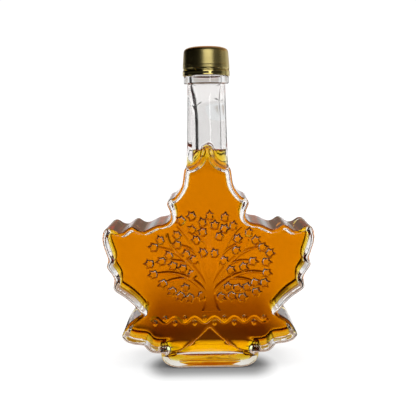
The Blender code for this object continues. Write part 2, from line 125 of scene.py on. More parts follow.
def primitive(name: str, add: Callable, **values: object) -> Thing:
    """Primitive at its size and place, as an object with no transform left.

    Args:
        name: Name of the new object.
        add: Operator that adds the primitive.
        values: Settings of the operator.

    Returns:
        The new object.
    """
    add(**values)
    made = bpy.context.object
    made.name = name
    select_only(made)
    bpy.ops.object.transform_apply(location=True, rotation=True, scale=True)
    return made


def modified(item: Thing, kind: str, **settings: object) -> None:
    """Give an object a modifier.

    Args:
        item: The object.
        kind: Type of the modifier.
        settings: Settings of the modifier.
    """
    step = item.modifiers.new(kind.lower(), kind)
    for setting, value in settings.items():
        setattr(step, setting, value)


def apply_all(item: Thing) -> None:
    """Apply every modifier of an object.

    Args:
        item: The object.
    """
    select_only(item)
    for step in list(item.modifiers):
        bpy.ops.object.modifier_apply(modifier=step.name)


def joined(name: str, items: Sequence[Thing]) -> Thing:
    """Join objects into the first one.

    Args:
        name: New name of the first object.
        items: The objects. All but the first are used up.

    Returns:
        The first object.
    """
    select_only(*items)
    bpy.ops.object.join()
    items[0].name = name
    return items[0]


def copied(item: Thing, name: str) -> Thing:
    """Copy an object together with its mesh.

    Args:
        item: The object.
        name: Name of the copy.

    Returns:
        The copy.
    """
    made = item.copy()
    made.data = item.data.copy()
    made.name = name
    bpy.context.scene.collection.objects.link(made)
    return made


def removed(*items: Thing) -> None:
    """Take helper objects out of the scene."""
    for item in items:
        bpy.data.objects.remove(item)


def boolean(target: Thing, other: Thing, kind: Cut = Cut.AWAY) -> None:
    """Cut another solid away from a target or join it on."""
    modified(target, "BOOLEAN", operation=kind.value, solver="EXACT", object=other)
    apply_all(target)


def dressed(item: Thing, *finishes: bpy.types.Material) -> None:
    """Give an object its materials.

    Args:
        item: The object, which loses the ones that it has.
        finishes: The materials in the order of the object's slots.
    """
    item.data.materials.clear()
    for finish in finishes:
        item.data.materials.append(finish)


def smooth_shaded(item: Thing, degrees: float) -> None:
    """Shade an object smooth, but for edges sharper than an angle."""
    select_only(item)
    bpy.ops.object.shade_smooth_by_angle(angle=math.radians(degrees))


def smoothed(item: Thing, rounds: int, group: str = "") -> None:
    """Add rounds of smoothing to an object, all over or where a vertex group says."""
    modified(item, "SMOOTH", factor=0.5, iterations=rounds, vertex_group=group)


class Editing:
    """Edit mode on one object, as a context."""

    def __init__(self, item: Thing) -> None:
        """Keep the object to edit."""
        self.item = item

    def __enter__(self) -> "Editing":
        """Start edit mode with nothing selected.

        Returns:
            This context.
        """
        select_only(self.item)
        bpy.ops.object.mode_set(mode="EDIT")
        bpy.ops.mesh.select_all(action="DESELECT")
        return self

    def __exit__(self, *_: object) -> None:
        """Leave edit mode."""
        bpy.ops.object.mode_set(mode="OBJECT")

    def pick(self, kind: Element, wanted: Callable) -> int:
        """Select the elements that a test likes, and nothing else.

        Args:
            kind: Vertices, edges or faces.
            wanted: Test that is given each element.

        Returns:
            How many elements it selected.
        """
        bpy.ops.mesh.select_mode(type=kind.value)
        bpy.ops.mesh.select_all(action="DESELECT")
        bm = bmesh.from_edit_mesh(self.item.data)
        chosen = [element for element in getattr(bm, kind.name.lower()) if wanted(element)]
        for element in chosen:
            element.select_set(True)
        bm.select_flush_mode()
        bmesh.update_edit_mesh(self.item.data)
        return len(chosen)

    def face_out(self) -> None:
        """Turn all faces outwards."""
        bpy.ops.mesh.select_all(action="SELECT")
        bpy.ops.mesh.normals_make_consistent(inside=False)


def lofted(name: str, rings: Sequence[np.ndarray]) -> Thing:
    """Closed solid with a skin over a row of rings and a face over each end.

    Args:
        name: Name of the solid.
        rings: Rings of points in metres, each with as many points as the others.

    Returns:
        The solid.
    """
    count, last = len(rings[0]), (len(rings) - 1) * len(rings[0])
    faces = [tuple(range(count)), tuple(range(last + count - 1, last - 1, -1))]
    for row in range(len(rings) - 1):
        low, high = row * count, (row + 1) * count
        faces += [(low + i, low + (i + 1) % count, high + (i + 1) % count, high + i) for i in range(count)]
    made = from_points(name, np.vstack(rings), [], faces)
    with Editing(made) as edit:
        edit.face_out()
    return made


# Flat outlines

def curve_through(points: np.ndarray, closed: bool = False) -> np.ndarray:
    """Smooth curve through points.

    Args:
        points: The points.
        closed: Whether the last point leads back to the first.

    Returns:
        The same points with one more between each two.
    """
    count = len(points)
    index = np.arange(count if closed else count - 1)

    def at(places: np.ndarray) -> np.ndarray:
        """Points at some places, past the ends the first or the last again."""
        return points[places % count if closed else np.clip(places, 0, count - 1)]

    mixed = np.empty((count + len(index), 2))
    mixed[0::2] = points
    mixed[1::2] = (9 * (at(index) + at(index + 1)) - at(index - 1) - at(index + 2)) / 16
    return mixed


def respaced(ring: np.ndarray, spacing: float) -> np.ndarray:
    """Draw a closed ring with evenly spaced points.

    Args:
        ring: The ring.
        spacing: About how far apart the new points are.

    Returns:
        The new ring.
    """
    closed = np.vstack([ring, ring[:1]])
    travel = np.concatenate([[0.0], np.cumsum(np.linalg.norm(np.diff(closed, axis=0), axis=1))])
    stops = np.linspace(0.0, travel[-1], int(round(travel[-1] / spacing)), endpoint=False)
    return np.column_stack([np.interp(stops, travel, closed[:, axis]) for axis in (0, 1)])


def nearest_on(edge: np.ndarray, points: np.ndarray) -> Tuple[np.ndarray, np.ndarray]:
    """Nearest spots of a closed edge to some points.

    Args:
        edge: Closed ring of points.
        points: The points.

    Returns:
        The nearest spot to each point, and how far inside the edge the point is, less than 0 outside.
    """
    start = edge[None, :, :]
    along = np.roll(edge, -1, axis=0)[None, :, :] - start
    away = points[:, None, :] - start
    share = np.clip((away * along).sum(2) / (along ** 2).sum(2), 0.0, 1.0)
    spots = start + share[:, :, None] * along
    gaps = np.linalg.norm(points[:, None, :] - spots, axis=2)
    best = gaps.argmin(axis=1)
    rows = np.arange(len(points))
    level = points[:, None, 1]
    spans = (start[:, :, 1] > level) != (start[:, :, 1] + along[:, :, 1] > level)
    rise = np.where(along[:, :, 1] == 0, 1.0, along[:, :, 1])
    crossing = start[:, :, 0] + (level - start[:, :, 1]) * along[:, :, 0] / rise
    inside = (spans & (points[:, None, 0] < crossing)).sum(axis=1) % 2 == 1
    return spots[rows, best], np.where(inside, 1, -1) * gaps[rows, best]


def drawn_in(edge: np.ndarray, distance: float, softness: int, rounds: int = 16) -> np.ndarray:
    """Edge moved inwards, its tips rounded off and its order of points kept.

    Args:
        edge: Closed ring of points.
        distance: How far to move it.
        softness: Rounds of smoothing after each small move.
        rounds: How many small moves make up the distance.

    Returns:
        The new ring. Where a tip is too narrow for the distance, its points lie on a line across it.
    """
    smoothing, room = 0.2, 0.97
    turn = np.roll(edge, -1, axis=0) - np.roll(edge, 1, axis=0)
    inward = np.column_stack([turn[:, 1], -turn[:, 0]]) / np.linalg.norm(turn, axis=1)[:, None]
    ring = edge + inward * distance / rounds
    for count in range(1, rounds + 1):
        for _ in range(softness):
            ring += ((np.roll(ring, 1, axis=0) + np.roll(ring, -1, axis=0)) / 2 - ring) * smoothing
        spots, depths = nearest_on(edge, ring)
        wanted = distance * count / rounds
        away = (ring - spots) / np.where(np.abs(depths) < 1e-9, 1e-9, depths)[:, None]
        ring = np.where((depths < wanted)[:, None], spots + away * wanted, ring)
    cramped = nearest_on(edge, ring)[1] < room * distance
    for _ in range(rounds * rounds):
        between = (np.roll(ring, 1, axis=0) + np.roll(ring, -1, axis=0)) / 2
        ring = np.where(cramped[:, None], between, ring)
    return ring


def direction(heading: float) -> np.ndarray:
    """Unit vector along a heading."""
    return np.array((math.cos(heading), math.sin(heading)))


def bent(start: np.ndarray, middle: np.ndarray, end: np.ndarray, steps: int) -> List[np.ndarray]:
    """Points of a quadratic curve from start to end, drawn towards middle."""
    shares = [count / steps for count in range(steps + 1)]
    return [(1 - t) ** 2 * start + 2 * t * (1 - t) * middle + t * t * end for t in shares]


def eased(share: float) -> float:
    """Share from 0 to 1 that starts and ends gently."""
    share = min(max(share, 0.0), 1.0)
    return share * share * (3 - 2 * share)


@dataclass(frozen=True)
class LeafOutline:
    """The leaf's edge, given by its right half as (x, z) in millimetres.

    Attributes:
        crown: From the tip down to the side lobe.
        side_lobe: Round the side lobe.
        low_lobe: Round the low lobe and along the bottom to the middle.
    """

    crown: Sequence[Point] = (
        (0.0, 135.4), (1.5, 134.6), (2.5, 132.5), (3.2, 130.2), (4.4, 127.5), (6.3, 125.3), (9.2, 123.7),
        (12.0, 123.0), (13.5, 122.4), (14.2, 119.2), (15.2, 112.7), (17.7, 108.2), (20.3, 105.4),
        (23.4, 104.0), (24.3, 101.2), (22.9, 97.8), (22.4, 93.2),
    )
    side_lobe: Sequence[Point] = (
        (25.6, 90.1), (30.4, 89.2), (33.6, 87.9), (37.1, 86.2), (39.7, 85.8), (41.9, 86.6), (44.5, 88.3),
        (46.7, 88.1), (48.5, 87.0), (50.7, 85.3), (52.9, 84.9), (55.1, 85.6), (57.3, 87.1), (59.1, 87.7),
        (61.3, 87.2), (62.9, 85.0), (63.5, 80.3), (62.4, 74.9), (60.4, 68.5), (61.4, 64.7), (60.8, 62.7),
        (58.6, 59.5), (57.1, 56.2), (57.7, 51.7), (57.3, 49.5), (54.1, 47.0), (50.4, 44.4), (45.7, 40.0),
        (42.5, 36.0), (41.1, 34.7),
    )
    low_lobe: Sequence[Point] = (
        (44.3, 32.3), (48.0, 29.8), (50.2, 27.3), (53.4, 21.4), (53.1, 19.3), (50.9, 17.0), (46.3, 15.4),
        (40.9, 14.7), (39.4, 13.3), (37.3, 11.0), (34.8, 9.9), (30.7, 9.5), (24.2, 9.6), (12.1, 9.6),
        (0.0, 9.6),
    )

    def ring(self, passes: int) -> np.ndarray:
        """Whole edge of the leaf.

        Args:
            passes: How many times a point is put between each two.

        Returns:
            Closed ring in metres.
        """
        right = np.array((*self.crown, *self.side_lobe, *self.low_lobe)) * MM
        for _ in range(passes):
            right = curve_through(right)
        return np.vstack([right, right[-2:0:-1] * (-1, 1)])

    def edge(self, spacing: float) -> np.ndarray:
        """Whole edge in metres, as a closed ring of evenly spaced points."""
        return respaced(self.ring(2), spacing)


# Solids

def slab(name: str, edge: np.ndarray, inner: np.ndarray, depth: float, rounding: float) -> Thing:
    """Upright slab, rounded over on its front and back.

    Args:
        name: Name of the slab.
        edge: Its outline.
        inner: Outline of its front and back, with as many points.
        depth: From front to back.
        rounding: How deep the rounding is.

    Returns:
        The slab.
    """
    steps, sides = 14, 10
    levels: List[Tuple[np.ndarray, float]] = []
    for count in range(steps + 1):
        angle = math.pi / 2 * count / steps
        ring = inner + (edge - inner) * math.sin(angle)
        levels.append((ring, -depth / 2 + rounding * (1 - math.cos(angle))))
    middle = [(edge, (depth / 2 - rounding) * (2 * count / sides - 1)) for count in range(1, sides)]
    levels = levels + middle + [(ring, -y) for ring, y in reversed(levels)]
    return lofted(name, [np.column_stack([ring[:, 0], np.full(len(ring), y), ring[:, 1]])
                         for ring, y in levels])


def block(name: str, size: Triple, centre: Triple, corner: float, edge: float) -> Thing:
    """Block with rounded upright corners and bottom edges.

    Args:
        name: Name of the block.
        size: Its size along each axis.
        centre: Its middle.
        corner: Rounding of the upright corners.
        edge: Rounding of the bottom edges.

    Returns:
        The block.
    """
    made = primitive(name, bpy.ops.mesh.primitive_cube_add, size=1.0, location=centre, scale=size)
    floor, segments = centre[2] - size[2] / 2, 12
    with Editing(made) as edit:
        edit.pick(Element.EDGES, lambda e: abs(e.verts[0].co.z - e.verts[1].co.z) > size[2] / 2)
        bpy.ops.mesh.bevel(offset=corner, segments=segments)
        edit.pick(Element.EDGES, lambda e: all(abs(v.co.z - floor) < 1e-6 for v in e.verts))
        bpy.ops.mesh.bevel(offset=edge, segments=segments)
    return made


def search_tree(item: Thing) -> BVHTree:
    """Search tree over an object's faces.

    Args:
        item: The object.

    Returns:
        The tree.
    """
    bm = bmesh.new()
    bm.from_mesh(item.data)
    found = BVHTree.FromBMesh(bm)
    bm.free()
    return found


@dataclass(frozen=True)
class Melt:
    """How solids melt into one skin, with a smooth cove wherever two of them meet.

    Attributes:
        voxel: Size of the skin's cells.
        coves: Extra rounds of smoothing near the creases.
        reach: Distance from a crease over which that smoothing fades.
        crease: Distances from a crease between which the skin goes back to the true surface.
        soft: Rounds of smoothing all over.
    """

    voxel: float
    coves: int
    reach: float
    crease: Tuple[float, float]
    soft: int = 2

    def joined(self, name: str, parts: Sequence[Thing], cutters: Sequence[Thing] = ()) -> Thing:
        """Melt solids together.

        Args:
            name: Name of the skin.
            parts: Closed solids that overlap. They are used up.
            cutters: Solids taken away from every part. They are used up.

        Returns:
            The skin, one closed surface.
        """
        trees = [search_tree(item) for item in (*parts, *cutters)]
        for cutter in cutters:
            for part in parts:
                boolean(part, cutter)
        source = joined(name + "_source", parts)
        made = copied(source, name)
        modified(made, "REMESH", mode="VOXEL", voxel_size=self.voxel)
        apply_all(made)
        gaps = np.array([[tree.find_nearest(vertex.co)[3] for tree in trees]
                         for vertex in made.data.vertices])
        second = np.sort(gaps, axis=1)[:, 1]
        free = np.clip((second - self.crease[0]) / (self.crease[1] - self.crease[0]), 0.0, 1.0)
        self.weigh(made, "near", np.clip(1.0 - second / self.reach, 0.0, 1.0))
        self.weigh(made, "free", free * free * (3 - 2 * free))
        smoothed(made, self.soft)
        smoothed(made, self.coves, "near")
        modified(made, "SHRINKWRAP", wrap_method="NEAREST_SURFACEPOINT", target=source, vertex_group="free")
        apply_all(made)
        made.vertex_groups.clear()
        removed(source, *cutters)
        return made

    @staticmethod
    def weigh(item: Thing, label: str, weights: np.ndarray) -> None:
        """Give an object a vertex group.

        Args:
            item: The object.
            label: Name of the group.
            weights: Weight of each vertex.
        """
        group = item.vertex_groups.new(name=label)
        for index in np.nonzero(weights > 0.001)[0]:
            group.add([int(index)], float(weights[index]), "REPLACE")


@dataclass(frozen=True)
class Turned:
    """A surface turned round the upright axis, in millimetres.

    Attributes:
        corners: Radius, height and rounding of each corner of its line.
        tail: More of the line after the last corner, as (radius, height).
        step: Longest step of a rounding, in radians.
        longest: Longest straight step.
    """

    corners: Sequence[Triple]
    tail: Sequence[Point] = ()
    step: float = 0.26
    longest: float = 1.5

    def arc(self, index: int) -> List[Point]:
        """Points of a rounding, which takes at most half of the way to the next corners.

        Args:
            index: Number of the corner.

        Returns:
            The points in order.
        """
        here = np.array(self.corners[index][:2])
        before = np.array(self.corners[index - 1][:2]) - here
        after = np.array(self.corners[index + 1][:2]) - here
        u, v = before / np.linalg.norm(before), after / np.linalg.norm(after)
        half = math.acos(float(np.clip(u @ v, -1, 1))) / 2
        wanted = self.corners[index][2]
        reach = min(wanted / math.tan(half), 0.5 * np.linalg.norm(before), 0.5 * np.linalg.norm(after))
        rounding = reach * math.tan(half)
        middle = here + (u + v) / np.linalg.norm(u + v) * rounding / math.sin(half)
        first, last = here + u * reach - middle, here + v * reach - middle
        sweep = math.pi - 2 * half
        steps = max(2, int(math.ceil(sweep / self.step)))
        sign = 1 if first[0] * last[1] - first[1] * last[0] > 0 else -1
        points = []
        for count in range(steps + 1):
            angle = sign * sweep * count / steps
            turn = np.array(((math.cos(angle), -math.sin(angle)), (math.sin(angle), math.cos(angle))))
            points.append(tuple(middle + turn @ first))
        return points

    def line(self) -> List[Point]:
        """The whole line, its long stretches divided.

        Returns:
            Its points as (radius, height).
        """
        corners: List[Point] = []
        for index, (radius, height, rounding) in enumerate(self.corners):
            inside = rounding > 0 and 0 < index < len(self.corners) - 1
            corners += self.arc(index) if inside else [(radius, height)]
        corners += list(self.tail)
        line = [corners[0]]
        for start, end in zip(corners, corners[1:]):
            parts = max(1, int(math.dist(start, end) / self.longest))
            line += [tuple(np.array(start) + (np.array(end) - np.array(start)) * k / parts)
                     for k in range(1, parts + 1)]
        return line

    def build(self, name: str, steps: int = 128) -> Thing:
        """Spin the line round the axis.

        Args:
            name: Name of the surface.
            steps: How many steps make up the full turn.

        Returns:
            The surface as an object.
        """
        points = np.array([(radius * MM, 0.0, height * MM) for radius, height in self.line()])
        made = from_points(name, points, [(i, i + 1) for i in range(len(points) - 1)], [])
        with Editing(made) as edit:
            bpy.ops.mesh.select_all(action="SELECT")
            bpy.ops.mesh.spin(steps=steps, angle=2 * math.pi, center=(0, 0, 0), axis=(0, 0, 1))
            bpy.ops.mesh.select_all(action="SELECT")
            bpy.ops.mesh.remove_doubles(threshold=0.001 * MM)
            edit.face_out()
        return made


def merge_flats(item: Thing, axis: Axis, levels: Sequence[float]) -> None:
    """Make each flat of an object one face that is truly flat.

    Args:
        item: The object.
        axis: Axis that the flats face along.
        levels: Places of the flats on that axis.
    """
    place, slack = axis.value, 0.002 * MM
    with Editing(item) as edit:
        for level in levels:
            edit.pick(Element.FACES, lambda f: all(abs(v.co[place] - level) < slack for v in f.verts))
            size, centre = [1.0, 1.0, 1.0], [0.0, 0.0, 0.0]
            size[place], centre[place] = 0.0, level
            bpy.ops.transform.resize(value=size, center_override=centre)
            bpy.ops.mesh.dissolve_faces()


def sliced(item: Thing, height: float, drop: bool) -> None:
    """Cut an object across.

    Args:
        item: The object.
        height: Height of the cut.
        drop: Whether what is above it goes.
    """
    with Editing(item):
        bpy.ops.mesh.select_all(action="SELECT")
        bpy.ops.mesh.bisect(plane_co=(0, 0, height), plane_no=(0, 0, 1), clear_outer=drop, use_fill=False)


def bridged(item: Thing, heights: Tuple[float, float], radii: Tuple[float, float]) -> None:
    """Close the gap between two open rims that lie round the axis.

    Args:
        item: Object with the rims.
        heights: Lowest and highest height of the rims.
        radii: Smallest and largest radius of the rims.
    """
    def on_rim(edge: bmesh.types.BMEdge) -> bool:
        """Whether an edge belongs to one of the rims.

        Args:
            edge: The edge.

        Returns:
            Whether it does.
        """
        return edge.is_boundary and all(
            heights[0] <= v.co.z <= heights[1] and radii[0] <= math.hypot(v.co.x, v.co.y) <= radii[1]
            for v in edge.verts)

    with Editing(item) as edit:
        edit.pick(Element.EDGES, on_rim)
        bpy.ops.mesh.bridge_edge_loops()


# Sizes that the parts share

BODY_DEPTH = 40.0 * MM
FACE = -BODY_DEPTH / 2
WALL = 3.3 * MM
NECK_CUT = 147.0 * MM
SYRUP_LEVEL = 133.2 * MM
SHARP = 44.0


def neck_radius(height: float) -> float:
    """Outside radius of the plain neck at a height, both in millimetres."""
    low, wide, span, taper = 112.0, 13.1, 60.2, 1.7
    return wide - taper * (height - low) / span


@dataclass(frozen=True)
class Notch:
    """The stem's notch in the front, a pointed arch with a bowed floor.

    Attributes:
        half: Half of its width.
        low: Height of its lower end.
        apex: Height of its point.
        spring: Height of the arch's ends.
        power: How sharply the arch bows.
        edge_depth: Depth of the floor at its ends, in millimetres.
        bow_depth: How much deeper the floor is in the middle, in millimetres.
        sill_top: Top of the deeper step along its lower end.
        sill_depth: How much deeper that step is in the middle.
        bulge: How far the hollow's front is drawn in behind it.
        fade: Height above the point over which the bulge fades.
    """

    half: float = 23.5 * MM
    low: float = 9.2 * MM
    apex: float = 26.1 * MM
    spring: float = 10.2 * MM
    power: float = 1.65
    edge_depth: float = 0.6
    bow_depth: float = 4.4
    sill_top: float = 13.6 * MM
    sill_depth: float = 1.2 * MM
    bulge: float = 5.2 * MM
    fade: float = 15.0 * MM

    def top(self, share: float) -> float:
        """Height of the arch at a share of the half width."""
        return self.spring + (self.apex - self.spring) * (1 - min(abs(share), 1.0)) ** self.power

    def depth(self, share: float) -> float:
        """Depth of the floor at a share of the half width."""
        return (self.edge_depth + self.bow_depth * (1 - min(abs(share), 1.0) ** 2)) * MM

    def solid(self, name: str, reach: float, low: float, top: Callable, floor: Callable) -> Thing:
        """Solid that reaches from in front of the face back to a bowed floor.

        Args:
            name: Name of the solid.
            reach: How far it reaches to both sides, as a share of the half width.
            low: Height of its lower end.
            top: Gives its upper end at a share of the half width.
            floor: Gives its floor at a share of the half width.

        Returns:
            The solid.
        """
        steps, clear = 24, 7 * MM
        rings = []
        for count in range(-steps, steps + 1):
            share = reach * count / steps
            corners = ((FACE - clear, low), (FACE - clear, top(share)), (floor(share), top(share)),
                       (floor(share), low))
            rings.append(np.array([(share * self.half, y, z) for y, z in corners]))
        return lofted(name, rings)

    def cutter(self) -> Thing:
        """Solid to cut the notch with."""
        return self.solid("notch", 1.0, self.low, self.top, lambda share: FACE + self.depth(share))

    def sill(self) -> Thing:
        """Solid to cut the step with, a little clear of the notch's sides.

        Returns:
            The solid.
        """
        reach, gap, under = 0.86, 0.3 * MM, 0.05 * MM
        return self.solid("sill", reach, self.low - under,
                          lambda share: min(self.top(share) - gap, self.sill_top),
                          lambda share: FACE + self.depth(share) + self.sill_depth * (1 - share * share))

    def draw_in(self, item: Thing) -> None:
        """Draw a space's front in behind the notch, as one smooth bulge that reaches well past it.

        Args:
            item: The space inside the glass.
        """
        room, high, past, rounds = BODY_DEPTH / 2 - WALL, self.apex + self.fade, 5 * MM, 16
        for vertex in item.data.vertices:
            x, y, z = vertex.co
            if y < 0 and z < high and abs(x) < self.half:
                share = (1 - (x / self.half) ** 2) ** 1.5 * (1 - eased((z - self.apex) / self.fade))
                vertex.co.y = max(y, self.bulge * share - room)
        near = item.vertex_groups.new(name="near")
        chosen = [v.index for v in item.data.vertices if v.co.z < high + past and v.co.y < 0]
        near.add(chosen, 1.0, "REPLACE")
        smoothed(item, rounds, "near")
        apply_all(item)
        item.vertex_groups.clear()


@dataclass(frozen=True)
class Foot:
    """The low block that the bottle stands on.

    Attributes:
        width: From end to end.
        depth: From front to back.
        top: Height up to which it runs, inside the leaf.
        corner: Rounding of its upright corners.
        end_round: Rounding at the bottom of its ends.
        face_round: Rounding at the bottom of its front and back.
        dish_centre: Height of the middle of the dish underneath.
        dish_size: Half sizes of that dish as a whole ellipsoid.
    """

    width: float = 61.0 * MM
    depth: float = 38.0 * MM
    top: float = 14.0 * MM
    corner: float = 9.0 * MM
    end_round: float = 6.5 * MM
    face_round: float = 2.6 * MM
    dish_centre: float = -2.4 * MM
    dish_size: Triple = (29.0 * MM, 16.9 * MM, 3.25 * MM)

    @staticmethod
    def inset(height: float, radius: float) -> float:
        """How far a rounding at the bottom of a side draws the side in at a height."""
        return radius - math.sqrt(radius ** 2 - max(radius - height, 0.0) ** 2)

    def block(self) -> Thing:
        """The foot, drawn in step by step to its bottom.

        Returns:
            The foot as a solid.
        """
        steps, height = 16, self.top - self.end_round
        made = primitive("foot", bpy.ops.mesh.primitive_cube_add, size=1.0,
                         scale=(self.width, self.depth, height),
                         location=(0, 0, (self.top + self.end_round) / 2))
        with Editing(made) as edit:
            edit.pick(Element.EDGES, lambda e: abs(e.verts[0].co.z - e.verts[1].co.z) > height / 2)
            bpy.ops.mesh.bevel(offset=self.corner, segments=steps)
            edit.pick(Element.FACES, lambda f: f.normal.z < -0.9)
            before = (self.width, self.depth, self.end_round)
            for count in range(1, steps + 1):
                level = self.end_round * (1 - math.sin(math.pi / 2 * count / steps))
                after = (self.width - 2 * self.inset(level, self.end_round),
                         self.depth - 2 * self.inset(level, self.face_round), level)
                bpy.ops.mesh.extrude_region_move(
                    TRANSFORM_OT_translate={"value": (0, 0, after[2] - before[2])})
                bpy.ops.transform.resize(value=(after[0] / before[0], after[1] / before[1], 1.0),
                                         center_override=(0, 0, 0))
                before = after
        return made

    def dish(self) -> Thing:
        """Cutter for the shallow dish underneath, which leaves a rim to stand on."""
        return primitive("dish", bpy.ops.mesh.primitive_uv_sphere_add, segments=96, ring_count=48, radius=1.0,
                         location=(0, 0, self.dish_centre), scale=self.dish_size)


# Relief

Outline = Callable[[float], List[np.ndarray]]


def stroke(points: Sequence[np.ndarray], root: float, tip: float, wider: float) -> List[np.ndarray]:
    """Outline of a line along some points, drawn wider on each side.

    Args:
        points: Points that it runs along.
        root: Width at its start.
        tip: Width at its end.
        wider: How much wider to draw each side.

    Returns:
        The outline, up one side and down the other.
    """
    thinnest, taper, deepest = 0.16, 0.1, 0.55
    left, right = [], []
    for index, point in enumerate(points):
        ahead = points[min(index + 1, len(points) - 1)] - points[max(index - 1, 0)]
        side = np.array((-ahead[1], ahead[0])) / np.linalg.norm(ahead)
        width = root + (tip - root) * index / (len(points) - 1)
        half = max(width / 2 + wider, thinnest + taper * (wider + deepest))
        left.append(point + side * half)
        right.append(point - side * half)
    return left + right[::-1]


@dataclass(frozen=True)
class Motif:
    """Small flat shape that is the same on both sides of its length.

    Attributes:
        half: Its outline on one side, as shares of its size along and across.
        size: Its length in millimetres.
    """

    half: Sequence[Point]
    size: float

    def outline(self, centre: np.ndarray, heading: float, wider: float) -> List[np.ndarray]:
        """Outline of the shape, laid out.

        Args:
            centre: Where it lies.
            heading: Which way it points.
            wider: How much wider to draw it all round.

        Returns:
            The outline.
        """
        sharpest = 0.45
        whole = np.array(tuple(self.half) + tuple((x, -y) for x, y in self.half[-2:0:-1])) * self.size
        ahead = np.roll(whole, -1, axis=0) - whole
        normals = np.column_stack([-ahead[:, 1], ahead[:, 0]]) / np.linalg.norm(ahead, axis=1)[:, None]
        before = np.roll(normals, 1, axis=0)
        share = 1.0 + (normals * before).sum(axis=1)
        grown = whole + (normals + before) / np.maximum(share, sharpest)[:, None] * wider
        along, across = direction(heading), direction(heading + math.pi / 2)
        return [centre + x * along + y * across for x, y in grown]


@dataclass(frozen=True)
class Pad:
    """Flat shape that stands out of the front, its sides sloping in to its top.

    Attributes:
        shape: Its outline in millimetres, given how much wider to draw it.
        height: Its height above the face in millimetres.
        spread: How much longer than usual its slopes are.
        LEVELS: Shares of its height, or millimetres below the face, with how much wider it is there.
    """

    LEVELS = ((-1.2, 0.95), (0.1, 0.5), (0.86, -0.28), (1.0, -0.55))

    shape: Outline
    height: float
    spread: float = 1.0

    def build(self, name: str, own: float) -> Thing:
        """The pad as a solid.

        Args:
            name: Name of the solid.
            own: How much higher than planned it is, in millimetres, so that no two pads are level.

        Returns:
            The solid, which reaches into the face.
        """
        rings = []
        for share, wider in self.LEVELS:
            y = FACE - (share * (self.height + own) if share > 0 else share - own) * MM
            rings.append(np.array([(x * MM, y, z * MM) for x, z in self.shape(wider * self.spread)]))
        return lofted(name, rings)


